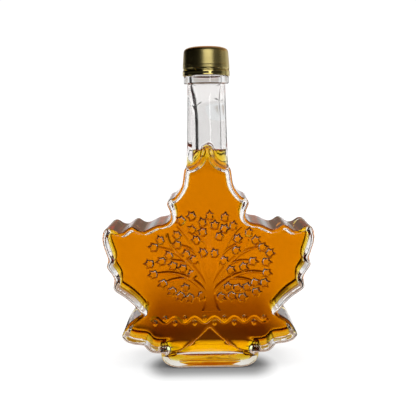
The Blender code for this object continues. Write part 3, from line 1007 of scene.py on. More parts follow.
@dataclass(frozen=True)
class TreeRelief:
    """A broad-crowned tree, its leaves scattered at random from a fixed seed.

    Attributes:
        trunk: Middle, height and half width of the trunk at some levels, in millimetres.
        fork: Where the limbs part.
        centre: Middle of the crown.
        reach: Half width and half height of the crown.
        limb_count: How many limbs it has, fanned out to both sides.
        fan: Lean of the outermost limbs.
        limb_widths: Widths of a limb at its root and tip.
        twig_widths: The same of a twig.
        twig_lengths: Shortest and longest twig.
        twig_turn: Angle between a twig and its limb.
        leaf: Shape of a leaf.
        margin: How far the leaves stay off the bottle's edge.
        apart: How far they stay off each other, as a share of their size.
        off_wood: How far they stay off the wood, as a share of their size.
        lowest: Height under which there are none.
        tries: How many places are tried.
        seed: Start of the random numbers.
    """

    trunk: Sequence[Triple] = ((1.2, 36.5, 5.6), (1.0, 38.8, 3.9), (0.7, 42.5, 3.0), (0.4, 47.0, 2.6),
                               (0.2, 52.0, 2.6), (0.2, 57.0, 1.8))
    fork: Point = (0.2, 57.0)
    centre: Point = (0.8, 66.5)
    reach: Point = (36.5, 29.5)
    limb_count: int = 7
    fan: float = math.radians(104)
    limb_widths: Point = (2.5, 0.9)
    twig_widths: Point = (1.4, 0.8)
    twig_lengths: Point = (11.5, 15.5)
    twig_turn: float = math.radians(34)
    leaf: Motif = Motif(((0.56, 0.0), (0.30, 0.17), (0.27, 0.44), (-0.03, 0.34), (-0.31, 0.38),
                         (-0.42, 0.0)), 5.8)
    margin: float = 2.4
    apart: float = 0.94
    off_wood: float = 0.5
    lowest: float = 45.0
    tries: int = 6000
    seed: int = 5

    def trunk_outline(self, wider: float) -> List[np.ndarray]:
        """Outline of the trunk, drawn wider on each side."""
        left = [np.array((x - half - wider, z)) for x, z, half in self.trunk]
        return left + [np.array((x + half + wider, z)) for x, z, half in reversed(self.trunk)]

    def limbs(self, draw: random.Random) -> List[Tuple]:
        """The limbs and their twigs.

        Args:
            draw: Source of the random numbers.

        Returns:
            The three points of each one's curve, its widths and its steps.
        """
        curves, count, wide, drop, shares = [], self.limb_count, 1.2, 10.0, (0.84, 0.93)
        bow_share, lift, twig_share, twig_bow = (0.42, 0.62), 8.5, 0.55, 0.3
        for number in range(count):
            lean = self.fan * (2 * number / (count - 1) - 1)
            start = np.array((self.fork[0] + wide * math.sin(lean),
                              self.fork[1] - drop * abs(lean) / self.fan))
            reach = np.array((math.sin(lean), math.cos(lean))) * self.reach * draw.uniform(*shares)
            end = np.array(self.centre) + reach
            middle = start + (end - start) * bow_share + (0.0, lift * abs(math.sin(lean)))
            curves.append(((start, middle, end), self.limb_widths, 16))
            line = bent(start, middle, end, 8)
            outward = 1 if number <= count // 2 else -1
            for place, side in zip((3, 5), (outward, -outward) if number in (1, count - 2) else (outward,)):
                ahead = line[place + 1] - line[place]
                heading = math.atan2(ahead[1], ahead[0]) + side * self.twig_turn
                length = draw.uniform(*self.twig_lengths)
                tip = line[place] + length * direction(heading)
                bow = line[place] + twig_share * length * direction(heading - side * twig_bow)
                curves.append(((line[place], bow, tip), self.twig_widths, 8))
        return curves

    def leaves(self, curves: Sequence[Tuple], draw: random.Random) -> List[Tuple[np.ndarray, float]]:
        """The leaves: at the tips of the wood, then wherever there is room.

        Args:
            curves: The limbs and their twigs.
            draw: Source of the random numbers.

        Returns:
            The place and heading of each leaf.
        """
        size, edge = self.leaf.size, LeafOutline().ring(1)
        leaf_reach, tip_gap, root, sway = 0.55, 0.4, 5.0, 0.5
        wood = np.array([point for curve, _, _ in curves for point in bent(*curve, 32)]
                        + [level[:2] for level in self.trunk])
        places: List[Tuple[np.ndarray, float]] = []

        def has_room(spot: np.ndarray, timber: np.ndarray) -> bool:
            """Whether a leaf fits at a spot.

            Args:
                spot: The spot.
                timber: Points of the wood that it has to stay clear of.

            Returns:
                Whether it does, clear also of the bottle's edge and of the other leaves.
            """
            off_edge = nearest_on(edge, spot[None, :] * MM)[1][0] > (self.margin + leaf_reach * size) * MM
            apart = all(np.linalg.norm(spot - other) > self.apart * size for other, _ in places)
            return off_edge and apart and np.linalg.norm(timber - spot, axis=1).min() > self.off_wood * size

        for (_, bow, tip), _, _ in curves:
            heading = math.atan2(*(tip - bow)[::-1])
            spot = tip + tip_gap * size * direction(heading)
            if has_room(spot, wood[np.linalg.norm(wood - tip, axis=1) > self.off_wood * size]):
                places.append((spot, heading))
        for _ in range(self.tries):
            lean = draw.uniform(-math.pi, math.pi)
            reach = math.sqrt(draw.random()) * np.array((math.sin(lean), math.cos(lean)))
            spot = np.array(self.centre) + reach * self.reach
            if spot[1] > self.lowest and has_room(spot, wood):
                outward = spot - (self.fork[0], self.fork[1] - root)
                places.append((spot, math.atan2(outward[1], outward[0]) + draw.uniform(-sway, sway)))
        return places

    def pads(self) -> List[Pad]:
        """All of the tree's raised shapes.

        Returns:
            The trunk, the limbs and twigs, and the leaves, no two that cross of the same height.
        """
        draw, step = random.Random(self.seed), 0.01
        made = [Pad(self.trunk_outline, 1.15, 1.5)]
        curves = self.limbs(draw)
        for number, (curve, widths, steps) in enumerate(curves):
            line = bent(*curve, steps)
            made.append(Pad(lambda wider, line=line, widths=widths: stroke(line, *widths, wider),
                            1.09 - step * number))
        for number, (spot, heading) in enumerate(self.leaves(curves, draw)):
            made.append(Pad(lambda wider, spot=spot, heading=heading: self.leaf.outline(spot, heading, wider),
                            1.0 - step * (number % 7)))
        return made


@dataclass(frozen=True)
class VineRelief:
    """A running vine under the tree, a wave with a bud in each bend, in millimetres.

    Attributes:
        half: Half of its length.
        height: Height of its middle.
        rise: Rise of the wave.
        bends: How many bends it has.
        width: Width of the stem.
        lift: How far the stem stands out.
        bud: Shape of a bud.
        bud_off: How far the buds lie off the middle.
    """

    half: float = 36.0
    height: float = 31.0
    rise: float = 1.8
    bends: int = 12
    width: float = 1.1
    lift: float = 0.7
    bud: Motif = Motif(((0.46, 0.0), (0.32, 0.22), (0.02, 0.34), (-0.26, 0.24), (-0.4, 0.0)), 3.7)
    bud_off: float = 1.3

    def pads(self) -> List[Pad]:
        """All of the vine's raised shapes.

        Returns:
            The stem and the buds.
        """
        steps = 6 * self.bends
        shares = [count / steps for count in range(steps + 1)]
        points = [np.array((self.half * (2 * share - 1),
                            self.height + self.rise * math.sin(self.bends * math.pi * share)))
                  for share in shares]
        made = [Pad(lambda wider: stroke(points, self.width, self.width, wider), self.lift)]
        for number in range(self.bends):
            side = -1 if number % 2 == 0 else 1
            spot = np.array((self.half * (2 * (number + 0.5) / self.bends - 1),
                             self.height + side * self.bud_off))
            made.append(Pad(lambda wider, spot=spot, side=side:
                            self.bud.outline(spot, side * math.pi / 2, wider), 0.69 - 0.01 * (number % 7)))
        return made


def add_relief(target: Thing, pads: Sequence[Pad]) -> None:
    """Raise pads out of the front of a solid.

    Args:
        target: The solid.
        pads: The pads. Each gets a height of its own, so that no two are level.
    """
    group, own = bpy.data.collections.new("pads"), 0.002
    bpy.context.scene.collection.children.link(group)
    made = [pad.build("pad_%02d" % number, own * number) for number, pad in enumerate(pads)]
    for item in made:
        bpy.context.scene.collection.objects.unlink(item)
        group.objects.link(item)
    modified(target, "BOOLEAN", operation=Cut.ON.value, solver="EXACT", operand_type="COLLECTION",
             collection=group)
    apply_all(target)
    removed(*made)
    bpy.data.collections.remove(group)


# Finishes

class Wiring:
    """Nodes of one material or world, made by short calls."""

    def __init__(self, tree: bpy.types.NodeTree) -> None:
        """Keep the tree that the nodes go into."""
        self.tree = tree

    def feed(self, target: Socket, value: object) -> None:
        """Give a socket a value.

        Args:
            target: The socket.
            value: Another socket to follow, or a constant. A number stands for a grey.
        """
        if isinstance(value, bpy.types.NodeSocket):
            self.tree.links.new(value, target)
        elif isinstance(value, tuple) and target.type == "RGBA":
            target.default_value = (*value, 1.0)
        elif target.type == "RGBA":
            target.default_value = (value, value, value, 1.0)
        else:
            target.default_value = value

    def made(self, kind: str, inputs: dict, **settings: object) -> bpy.types.Node:
        """New node.

        Args:
            kind: Type of the node.
            inputs: Its inputs by name or number.
            settings: Its settings.

        Returns:
            The node.
        """
        node = self.tree.nodes.new(kind)
        for setting, value in settings.items():
            setattr(node, setting, value)
        for name, value in inputs.items():
            self.feed(node.inputs[name], value)
        return node

    def maths(self, operation: str, *values: object) -> Socket:
        """Result of an operation on numbers."""
        return self.made("ShaderNodeMath", dict(enumerate(values)), operation=operation).outputs["Value"]

    def mixed(self, share: object, first: object, second: object, blend: str = "MIX") -> Socket:
        """Two colours mixed.

        Args:
            share: Share of the second one.
            first: First colour.
            second: Second colour.
            blend: How they are mixed.

        Returns:
            The mixed colour.
        """
        node = self.made("ShaderNodeMix", {}, data_type="RGBA", blend_type=blend)
        for name, value in (("Factor", share), ("A", first), ("B", second)):
            self.feed(node.inputs[name], value)
        return node.outputs["Result"]

    def product(self, first: object, *others: object) -> Socket:
        """Product of colours.

        Args:
            first: First colour.
            others: The other ones.

        Returns:
            The product.
        """
        for other in others:
            first = self.mixed(1.0, first, other, "MULTIPLY")
        return first

    def distance(self, *parts: Socket) -> Socket:
        """Length of the line that has two parts at right angles."""
        return self.maths("SQRT", self.maths("ADD", *(self.maths("MULTIPLY", part, part) for part in parts)))

    def place(self, kind: str = "Object") -> Tuple[Socket, Socket, Socket]:
        """Place on a piece, or the direction in the surround.

        Args:
            kind: Kind of coordinate.

        Returns:
            Its three parts.
        """
        where = self.tree.nodes.new("ShaderNodeTexCoord")
        apart = self.made("ShaderNodeSeparateXYZ", {"Vector": where.outputs[kind]})
        return apart.outputs["X"], apart.outputs["Y"], apart.outputs["Z"]

    def ramp(self, value: Socket, stops: Stops) -> Socket:
        """Colour that follows a value.

        Args:
            value: The value.
            stops: Places in the value's own unit, each with its colour or grey.

        Returns:
            The colour.
        """
        first, last = stops[0][0], stops[-1][0]
        share = self.maths("DIVIDE", self.maths("SUBTRACT", value, first), last - first)
        node = self.made("ShaderNodeValToRGB", {"Fac": share})
        elements = node.color_ramp.elements
        while len(elements) > 1:
            elements.remove(elements[0])
        for index, (place, colour) in enumerate(stops):
            spot = (place - first) / (last - first)
            stop = elements[0] if index == 0 else elements.new(spot)
            stop.position = spot
            stop.color = (*colour, 1) if isinstance(colour, tuple) else (colour, colour, colour, 1)
        return node.outputs["Color"]

    def noise(self, scale: Triple, detail: float = 2.0) -> Socket:
        """Noise in object coordinates.

        Args:
            scale: Cells in a metre along each axis.
            detail: How fine it gets.

        Returns:
            The noise, from 0 to 1.
        """
        where = self.tree.nodes.new("ShaderNodeTexCoord")
        sized = self.made("ShaderNodeMapping", {"Vector": where.outputs["Object"], "Scale": scale})
        inputs = {"Vector": sized.outputs["Vector"], "Scale": 1.0, "Detail": detail}
        return self.made("ShaderNodeTexNoise", inputs).outputs["Fac"]

    def dented(self, height: Socket, depth: float) -> Socket:
        """Normal of a surface with dents of a depth."""
        return self.made("ShaderNodeBump", {"Height": height, "Distance": depth}).outputs["Normal"]

    def bearing(self, kind: str) -> Socket:
        """Bearing round the upright axis, in degrees from straight behind."""
        x, y, _ = self.place(kind)
        return self.maths("MULTIPLY", self.maths("ARCTAN2", x, y), 180 / math.pi)

    def seen(self, by_light: object, by_camera: object) -> Socket:
        """Colour that the camera sees in one way and light in the glass in another."""
        path = self.tree.nodes.new("ShaderNodeLightPath")
        return self.mixed(path.outputs["Is Camera Ray"], by_light, by_camera)


def principled(name: str, **values: object) -> Tuple[bpy.types.Material, bpy.types.Node, Wiring]:
    """Material with one Principled shader.

    Args:
        name: Name of the material.
        values: Inputs of the shader, with a low line for each space.

    Returns:
        The material, its shader and the means to wire more nodes to it.
    """
    made = bpy.data.materials.new(name)
    made.use_nodes = True
    wiring = Wiring(made.node_tree)
    shader = made.node_tree.nodes["Principled BSDF"]
    for socket, value in values.items():
        wiring.feed(shader.inputs[socket.replace("_", " ")], value)
    return made, shader, wiring


@dataclass(frozen=True)
class GlassFinish:
    """Clear glass with slightly wavy faces, or its wall where the syrup wets it and no light turns.

    Attributes:
        name: Name of the material.
        ior: How much it bends light.
        wave: Depth of its waves in millimetres, or 0 for none.
        low_wave: The same at the foot.
        low_zone: Heights between which the one gives way to the other.
        wave_cells: Waves in a metre along each axis.
        tinge_cells: Faintly tinged patches in a metre along each axis.
    """

    name: str
    ior: float
    wave: float = 0.0
    low_wave: float = 0.0
    low_zone: Point = (0.012, 0.030)
    wave_cells: Triple = (110.0, 110.0, 70.0)
    tinge_cells: Triple = (40.0, 40.0, 25.0)

    def material(self) -> bpy.types.Material:
        """Build the finish.

        Returns:
            The material.
        """
        made, shader, wiring = principled(self.name, Roughness=0.0, Transmission_Weight=1.0, IOR=self.ior)
        clean, tinged = (1.0, 1.0, 1.0), (0.97, 0.98, 0.98)
        wiring.feed(shader.inputs["Base Color"], wiring.mixed(wiring.noise(self.tinge_cells), clean, tinged))
        if self.wave:
            depth = wiring.ramp(wiring.place()[2], tuple(zip(self.low_zone, (self.low_wave, self.wave))))
            height = wiring.maths("MULTIPLY", wiring.noise(self.wave_cells, 1.0), depth)
            wiring.feed(shader.inputs["Normal"], wiring.dented(height, MM))
        return made


@dataclass(frozen=True)
class SyrupFinish:
    """Clear amber syrup, darker the deeper it is.

    Attributes:
        colour: Colour that it lets through.
        density: How strongly it takes up the rest.
        inside: How its skin bends light where it wets the glass.
        free: How its free surface bends light.
        cloud_cells: Faintly clouded patches in a metre along each axis.
    """

    colour: Colour = (0.967, 0.848, 0.0)
    density: float = 300.0
    inside: float = 0.98
    free: float = 1.47
    cloud_cells: Triple = (30.0, 30.0, 60.0)

    def material(self) -> bpy.types.Material:
        """Build the finish.

        Returns:
            The material.
        """
        made, shader, wiring = principled("amber syrup", Roughness=0.0, Transmission_Weight=1.0)
        volume = wiring.made("ShaderNodeVolumeAbsorption", {"Color": self.colour, "Density": self.density})
        wiring.feed(made.node_tree.nodes["Material Output"].inputs["Volume"], volume.outputs["Volume"])
        mask = wiring.made("ShaderNodeAttribute", {}, attribute_name="free_surface")
        level = wiring.made("ShaderNodeMapRange", {"Value": mask.outputs["Fac"], "To Min": self.inside,
                                                   "To Max": self.free})
        wiring.feed(shader.inputs["IOR"], level.outputs["Result"])
        clear, clouded = (1.0, 1.0, 1.0), (0.97, 0.94, 0.90)
        wiring.feed(shader.inputs["Base Color"], wiring.mixed(wiring.noise(self.cloud_cells), clear, clouded))
        return made


@dataclass(frozen=True)
class GoldFinish:
    """Gold lacquered metal, satin from rolling.

    Attributes:
        pale: Its paler colour.
        deep: Its deeper colour.
        rough: Its middle roughness.
        streak: How far the roughness varies between streaks.
        band_top: Top of the tear band, which is shinier.
        band_share: Share of the roughness that the tear band has.
        dent: Depth of its dents.
        streak_cells: Streaks in a metre along each axis.
        cloud_cells: Patches of colour and dents in a metre along each axis.
    """

    pale: Colour = (0.64, 0.53, 0.22)
    deep: Colour = (0.54, 0.43, 0.15)
    rough: float = 0.30
    streak: float = 0.14
    band_top: float = 181.1 * MM
    band_share: float = 0.55
    dent: float = 0.12 * MM
    streak_cells: Triple = (160.0, 160.0, 900.0)
    cloud_cells: Triple = (90.0, 90.0, 60.0)

    def material(self) -> bpy.types.Material:
        """Build the finish.

        Returns:
            The material.
        """
        made, shader, wiring = principled("gold lacquer", Metallic=1.0)
        streaks, cloud = wiring.noise(self.streak_cells, 3.0), wiring.noise(self.cloud_cells, 3.0)
        wiring.feed(shader.inputs["Base Color"], wiring.mixed(cloud, self.pale, self.deep))
        zone = ((self.band_top - 0.6 * MM, self.band_share), (self.band_top, 1.0))
        rough = wiring.maths("MULTIPLY_ADD", streaks, self.streak, self.rough - self.streak / 2)
        shine = wiring.maths("MULTIPLY", rough, wiring.ramp(wiring.place()[2], zone))
        wiring.feed(shader.inputs["Roughness"], shine)
        wiring.feed(shader.inputs["Normal"], wiring.dented(cloud, self.dent))
        return made


# Pieces

@dataclass(frozen=True)
class Hollow:
    """The space inside the glass.

    Attributes:
        rounding: Rounding of its front and back.
        bore: Radius of the neck's bore.
        bore_span: Lower and upper end of the bore as a cylinder, in millimetres.
        shift: How far the bore stands to the right of the neck's middle.
        well: Size of the space in the foot.
        well_middle: Height of that space's middle.
        softness: Rounds of smoothing for its outlines.
        melt: How these melt into one space.
    """

    rounding: float = 3.0 * MM
    bore: float = 7.0 * MM
    bore_span: Point = (108.5, 162.5)
    shift: float = 0.9 * MM
    well: Triple = (49 * MM, 23 * MM, 16.7 * MM)
    well_middle: float = 10.65 * MM
    softness: int = 6
    melt: Melt = Melt(1.2 * MM, 24, 5.0 * MM, (1.5 * MM, 3.0 * MM))

    def build(self, leaf: LeafOutline, notch: Notch) -> Thing:
        """The space up to the middle of the neck.

        Args:
            leaf: The bottle's edge.
            notch: The notch, behind which the space is drawn in.

        Returns:
            The space as a closed surface.
        """
        spacing, (low, high) = 1.0 * MM, self.bore_span
        edge = respaced(drawn_in(leaf.edge(spacing), WALL, self.softness), spacing)
        inner = drawn_in(edge, self.rounding, self.softness)
        space = slab("space", curve_through(edge, True), curve_through(inner, True), BODY_DEPTH - 2 * WALL,
                     self.rounding)
        bore = primitive("bore", bpy.ops.mesh.primitive_cylinder_add, vertices=192, radius=self.bore,
                         depth=(high - low) * MM, location=(self.shift, 0, (low + high) / 2 * MM))
        well = block("well", self.well, (0, 0, self.well_middle), corner=4.0 * MM, edge=2.4 * MM)
        made = self.melt.joined("hollow", [space, bore, well])
        notch.draw_in(made)
        return made

    def line(self) -> List[Point]:
        """Line of the bore below its mouth, narrowing smoothly into the neck.

        Returns:
            Its points as (radius, height) in millimetres, from the top down.
        """
        top, end, low, wide, narrow = 173.0, 149.0, 159.5, 9.0, self.bore / MM
        heights = [top - count for count in range(int(top - end) + 1)]
        return [(narrow + (wide - narrow) * eased((height - low) / (top + 1.0 - low)), height)
                for height in heights]


@dataclass
class GlassBottle:
    """The glass as one closed skin, its wet wall in a finish of its own.

    Attributes:
        leaf: Its edge.
        notch: The stem's notch in its front.
        foot: The foot that it stands on.
        hollow: The space inside.
        reliefs: What stands out of its front.
        neck: Heights in millimetres between which the neck is added to the leaf.
        edge_round: Rounding of its front and back.
        melt: How leaf, neck and foot melt together.
        lip: Corners of the ring under the cap and of the mouth, with their roundings.
        dry: Finish of the glass.
        wet: Finish of its wall up to the syrup's level.
    """

    leaf: LeafOutline = LeafOutline()
    notch: Notch = Notch()
    foot: Foot = Foot()
    hollow: Hollow = Hollow()
    reliefs: Sequence[Union[TreeRelief, VineRelief]] = (TreeRelief(), VineRelief())
    neck: Point = (110.0, 164.0)
    edge_round: float = 2.6 * MM
    melt: Melt = Melt(0.9 * MM, 16, 4.5 * MM, (1.4 * MM, 2.8 * MM))
    lip: Sequence[Triple] = (
        (neck_radius(149.0), 149.0, 0), (neck_radius(172.4), 172.4, 0.3), (13.6, 172.7, 0.5),
        (13.6, 176.8, 0.4), (12.6, 177.6, 0.4), (12.6, 192.0, 1.2), (9.0, 192.0, 1.2), (9.0, 174.0, 0))
    dry: GlassFinish = GlassFinish("clear glass", 1.5, 0.03, 0.3)
    wet: GlassFinish = GlassFinish("wet glass", 1.0)

    def outside(self) -> Thing:
        """The outside of leaf, foot and lower neck, with the notch and the relief.

        Returns:
            The outside as a closed surface.
        """
        low, high = self.neck
        edge = self.leaf.edge(0.8 * MM)
        inner = curve_through(drawn_in(edge, self.edge_round, 4), True)
        body = slab("leaf", curve_through(edge, True), inner, BODY_DEPTH, self.edge_round)
        neck = primitive("neck", bpy.ops.mesh.primitive_cone_add, vertices=256,
                         radius1=neck_radius(low) * MM, radius2=neck_radius(high) * MM,
                         depth=(high - low) * MM, location=(0, 0, (low + high) / 2 * MM))
        made = self.melt.joined("outside", [body, neck, self.foot.block()], [self.notch.cutter()])
        merge_flats(made, Axis.Y, (FACE, -FACE))
        merge_flats(made, Axis.Z, (0.0,))
        for cutter in (self.foot.dish(), self.notch.sill()):
            boolean(made, cutter)
            removed(cutter)
        add_relief(made, [pad for relief in self.reliefs for pad in relief.pads()])
        return made

    def mouth(self) -> Thing:
        """The upper neck, the ring under the cap, the mouth and the bore, which comes to the middle there.

        Returns:
            One open surface, from the outside of the neck over the mouth and down the bore.
        """
        made = Turned(self.lip, self.hollow.line()).build("mouth")
        reach, ceiling, low, rise = 9.5, 173.5, 150.0, 20.0
        for vertex in made.data.vertices:
            x, y, z = vertex.co / MM
            if math.hypot(x, y) < reach and z < ceiling:
                vertex.co.x += self.hollow.shift * (1 - eased((z - low) / rise))
        return made

    def build(self) -> Tuple[Thing, Thing]:
        """Join the outside, the inside and the upper neck.

        Returns:
            The glass, and the untouched space inside it.
        """
        outside, space = self.outside(), self.hollow.build(self.leaf, self.notch)
        untouched = copied(space, "syrup_fill")
        sliced(outside, NECK_CUT, True)
        sliced(space, NECK_CUT, True)
        sliced(space, SYRUP_LEVEL, False)
        parts = (outside, space, self.mouth())
        finishes = (self.dry.material(), self.wet.material())
        for item in parts:
            dressed(item, *finishes)
        for polygon in space.data.polygons:
            wall = Wall.WET if polygon.center.z < SYRUP_LEVEL else Wall.DRY
            polygon.material_index = wall.value
        made = joined("bottle_glass", parts)
        rims, outer, inner = (146 * MM, 150 * MM), (10 * MM, 15 * MM), (5 * MM, 9 * MM)
        for radii in (outer, inner):
            bridged(made, rims, radii)
        with Editing(made) as edit:
            edit.face_out()
        smooth_shaded(made, SHARP)
        modified(made, "WEIGHTED_NORMAL", mode="FACE_AREA", keep_sharp=True)
        apply_all(made)
        return made, untouched


@dataclass
class Syrup:
    """The syrup, which reaches just into the glass, with a hollow free surface.

    Attributes:
        overlap: How far it reaches into the glass.
        over: How far its rim lies above the level, so that the wet wall ends under it.
        meniscus: Insets of the free surface from its rim, each with its drop, in millimetres.
        bore: Radius round the neck's middle that the free surface keeps within.
        finish: What it looks like.
    """

    overlap: float = 0.08 * MM
    over: float = 0.02 * MM
    meniscus: Sequence[Point] = ((0.25, 0.35), (0.3, 0.25), (0.5, 0.15), (0.8, 0.05))
    bore: float = 8.0 * MM
    finish: SyrupFinish = SyrupFinish()

    def build(self, made: Thing) -> Thing:
        """Fill a space up to the level.

        Args:
            made: The space, which becomes the syrup.

        Returns:
            The syrup, the faces of its free surface marked by an attribute.
        """
        modified(made, "DISPLACE", strength=self.overlap, mid_level=0.0)
        apply_all(made)
        sliced(made, SYRUP_LEVEL + self.over, True)
        with Editing(made) as edit:
            edit.pick(Element.EDGES, lambda e: e.is_boundary)
            bpy.ops.mesh.edge_face_add()
            for inset, drop in self.meniscus:
                bpy.ops.mesh.inset(thickness=inset * MM)
                bpy.ops.transform.translate(value=(0, 0, -drop * MM))
        lowest, upward = SYRUP_LEVEL - 0.5 * MM, 0.3
        flags = [float(face.center.z > lowest and face.normal.z > upward and
                       math.hypot(face.center.x, face.center.y) < self.bore) for face in made.data.polygons]
        made.data.attributes.new("free_surface", "FLOAT", "FACE").data.foreach_set("value", flags)
        dressed(made, self.finish.material())
        smooth_shaded(made, SHARP)
        return made


@dataclass
class ScrewCap:
    """The cap, a drawn and rolled metal shell with a slit tear band.

    Attributes:
        shell: Corners of its section, with their roundings, in millimetres.
        slits: How many slits run round it.
        first: Place of the first bridge, as a share of a slit.
        slit: Height of the slits.
        radius: Radius on which the bridges between the slits stand.
        bridge: Size of a bridge: round the cap, through its wall and upright.
        sharp: Angle in degrees from which its edges are sharp.
        finish: What it looks like.
    """

    shell: Sequence[Triple] = (
        (0.0, 194.6, 0), (9.6, 194.3, 9.0), (13.3, 193.0, 2.6), (13.75, 187.6, 4.0), (13.95, 184.2, 0.6),
        (14.08, 183.8, 0.3), (14.0, 183.3, 0.4), (14.12, 181.7, 0.3), (13.72, 181.3, 0.15),
        (13.72, 180.6, 0.15), (14.15, 180.2, 0.4), (14.25, 179.4, 0.6), (14.2, 178.2, 0.5),
        (14.3, 177.5, 0.25), (14.15, 177.2, 0.15), (13.7, 177.2, 0.15), (13.5, 181.0, 0.3),
        (13.3, 188.0, 3.0), (12.8, 192.4, 1.2), (9.0, 193.6, 2.0), (0.0, 193.9, 0))
    slits: int = 10
    first: float = 0.15
    slit: float = 180.95 * MM
    radius: float = 13.62 * MM
    bridge: Triple = (1.5 * MM, 0.9 * MM, 1.1 * MM)
    sharp: float = 30.0
    finish: GoldFinish = GoldFinish()

    def build(self) -> Thing:
        """Turn the shell and put its bridges in.

        Returns:
            The cap.
        """
        made = Turned(self.shell).build("cap_shell")
        for number in range(self.slits):
            turn = 2 * math.pi * (number + self.first) / self.slits
            spot = (self.radius * math.sin(turn), -self.radius * math.cos(turn), self.slit)
            bridge = primitive("bridge", bpy.ops.mesh.primitive_cube_add, size=1.0, location=spot,
                               rotation=(0, 0, turn), scale=self.bridge)
            boolean(made, bridge, Cut.ON)
            removed(bridge)
        dressed(made, self.finish.material())
        smooth_shaded(made, self.sharp)
        return made


# Studio

# Brightness of the surround and the far floor, by bearing in degrees from straight behind the bottle
DISTANT: Stops = ((-180, 0.04), (-84, 0.04), (-78, 0.02), (-48, 0.02), (-43, 1.0), (60, 1.0), (65, 0.25),
                  (71, 0.25), (75, 0.6), (96, 0.3), (102, 0.04), (180, 0.04))


@dataclass(frozen=True)
class Lamp:
    """A soft rectangular lamp that doesn't show through the glass.

    Attributes:
        name: Its name.
        place: Where it hangs.
        size: Its width and height.
        power: Its power in watts.
        aim: Spot that it points at.
    """

    name: str
    place: Triple
    size: Point
    power: float
    aim: Triple = (0.0, 0.0, 0.15)

    def build(self) -> None:
        """Put the lamp in the scene."""
        lamp = bpy.data.lights.new(self.name, "AREA")
        lamp.shape, lamp.size, lamp.size_y, lamp.energy = "RECTANGLE", *self.size, self.power
        item = bpy.data.objects.new(self.name, lamp)
        bpy.context.scene.collection.objects.link(item)
        item.location, item.visible_transmission = self.place, False
        item.rotation_mode = "QUATERNION"
        item.rotation_quaternion = (Vector(self.place) - Vector(self.aim)).to_track_quat("Z", "Y")


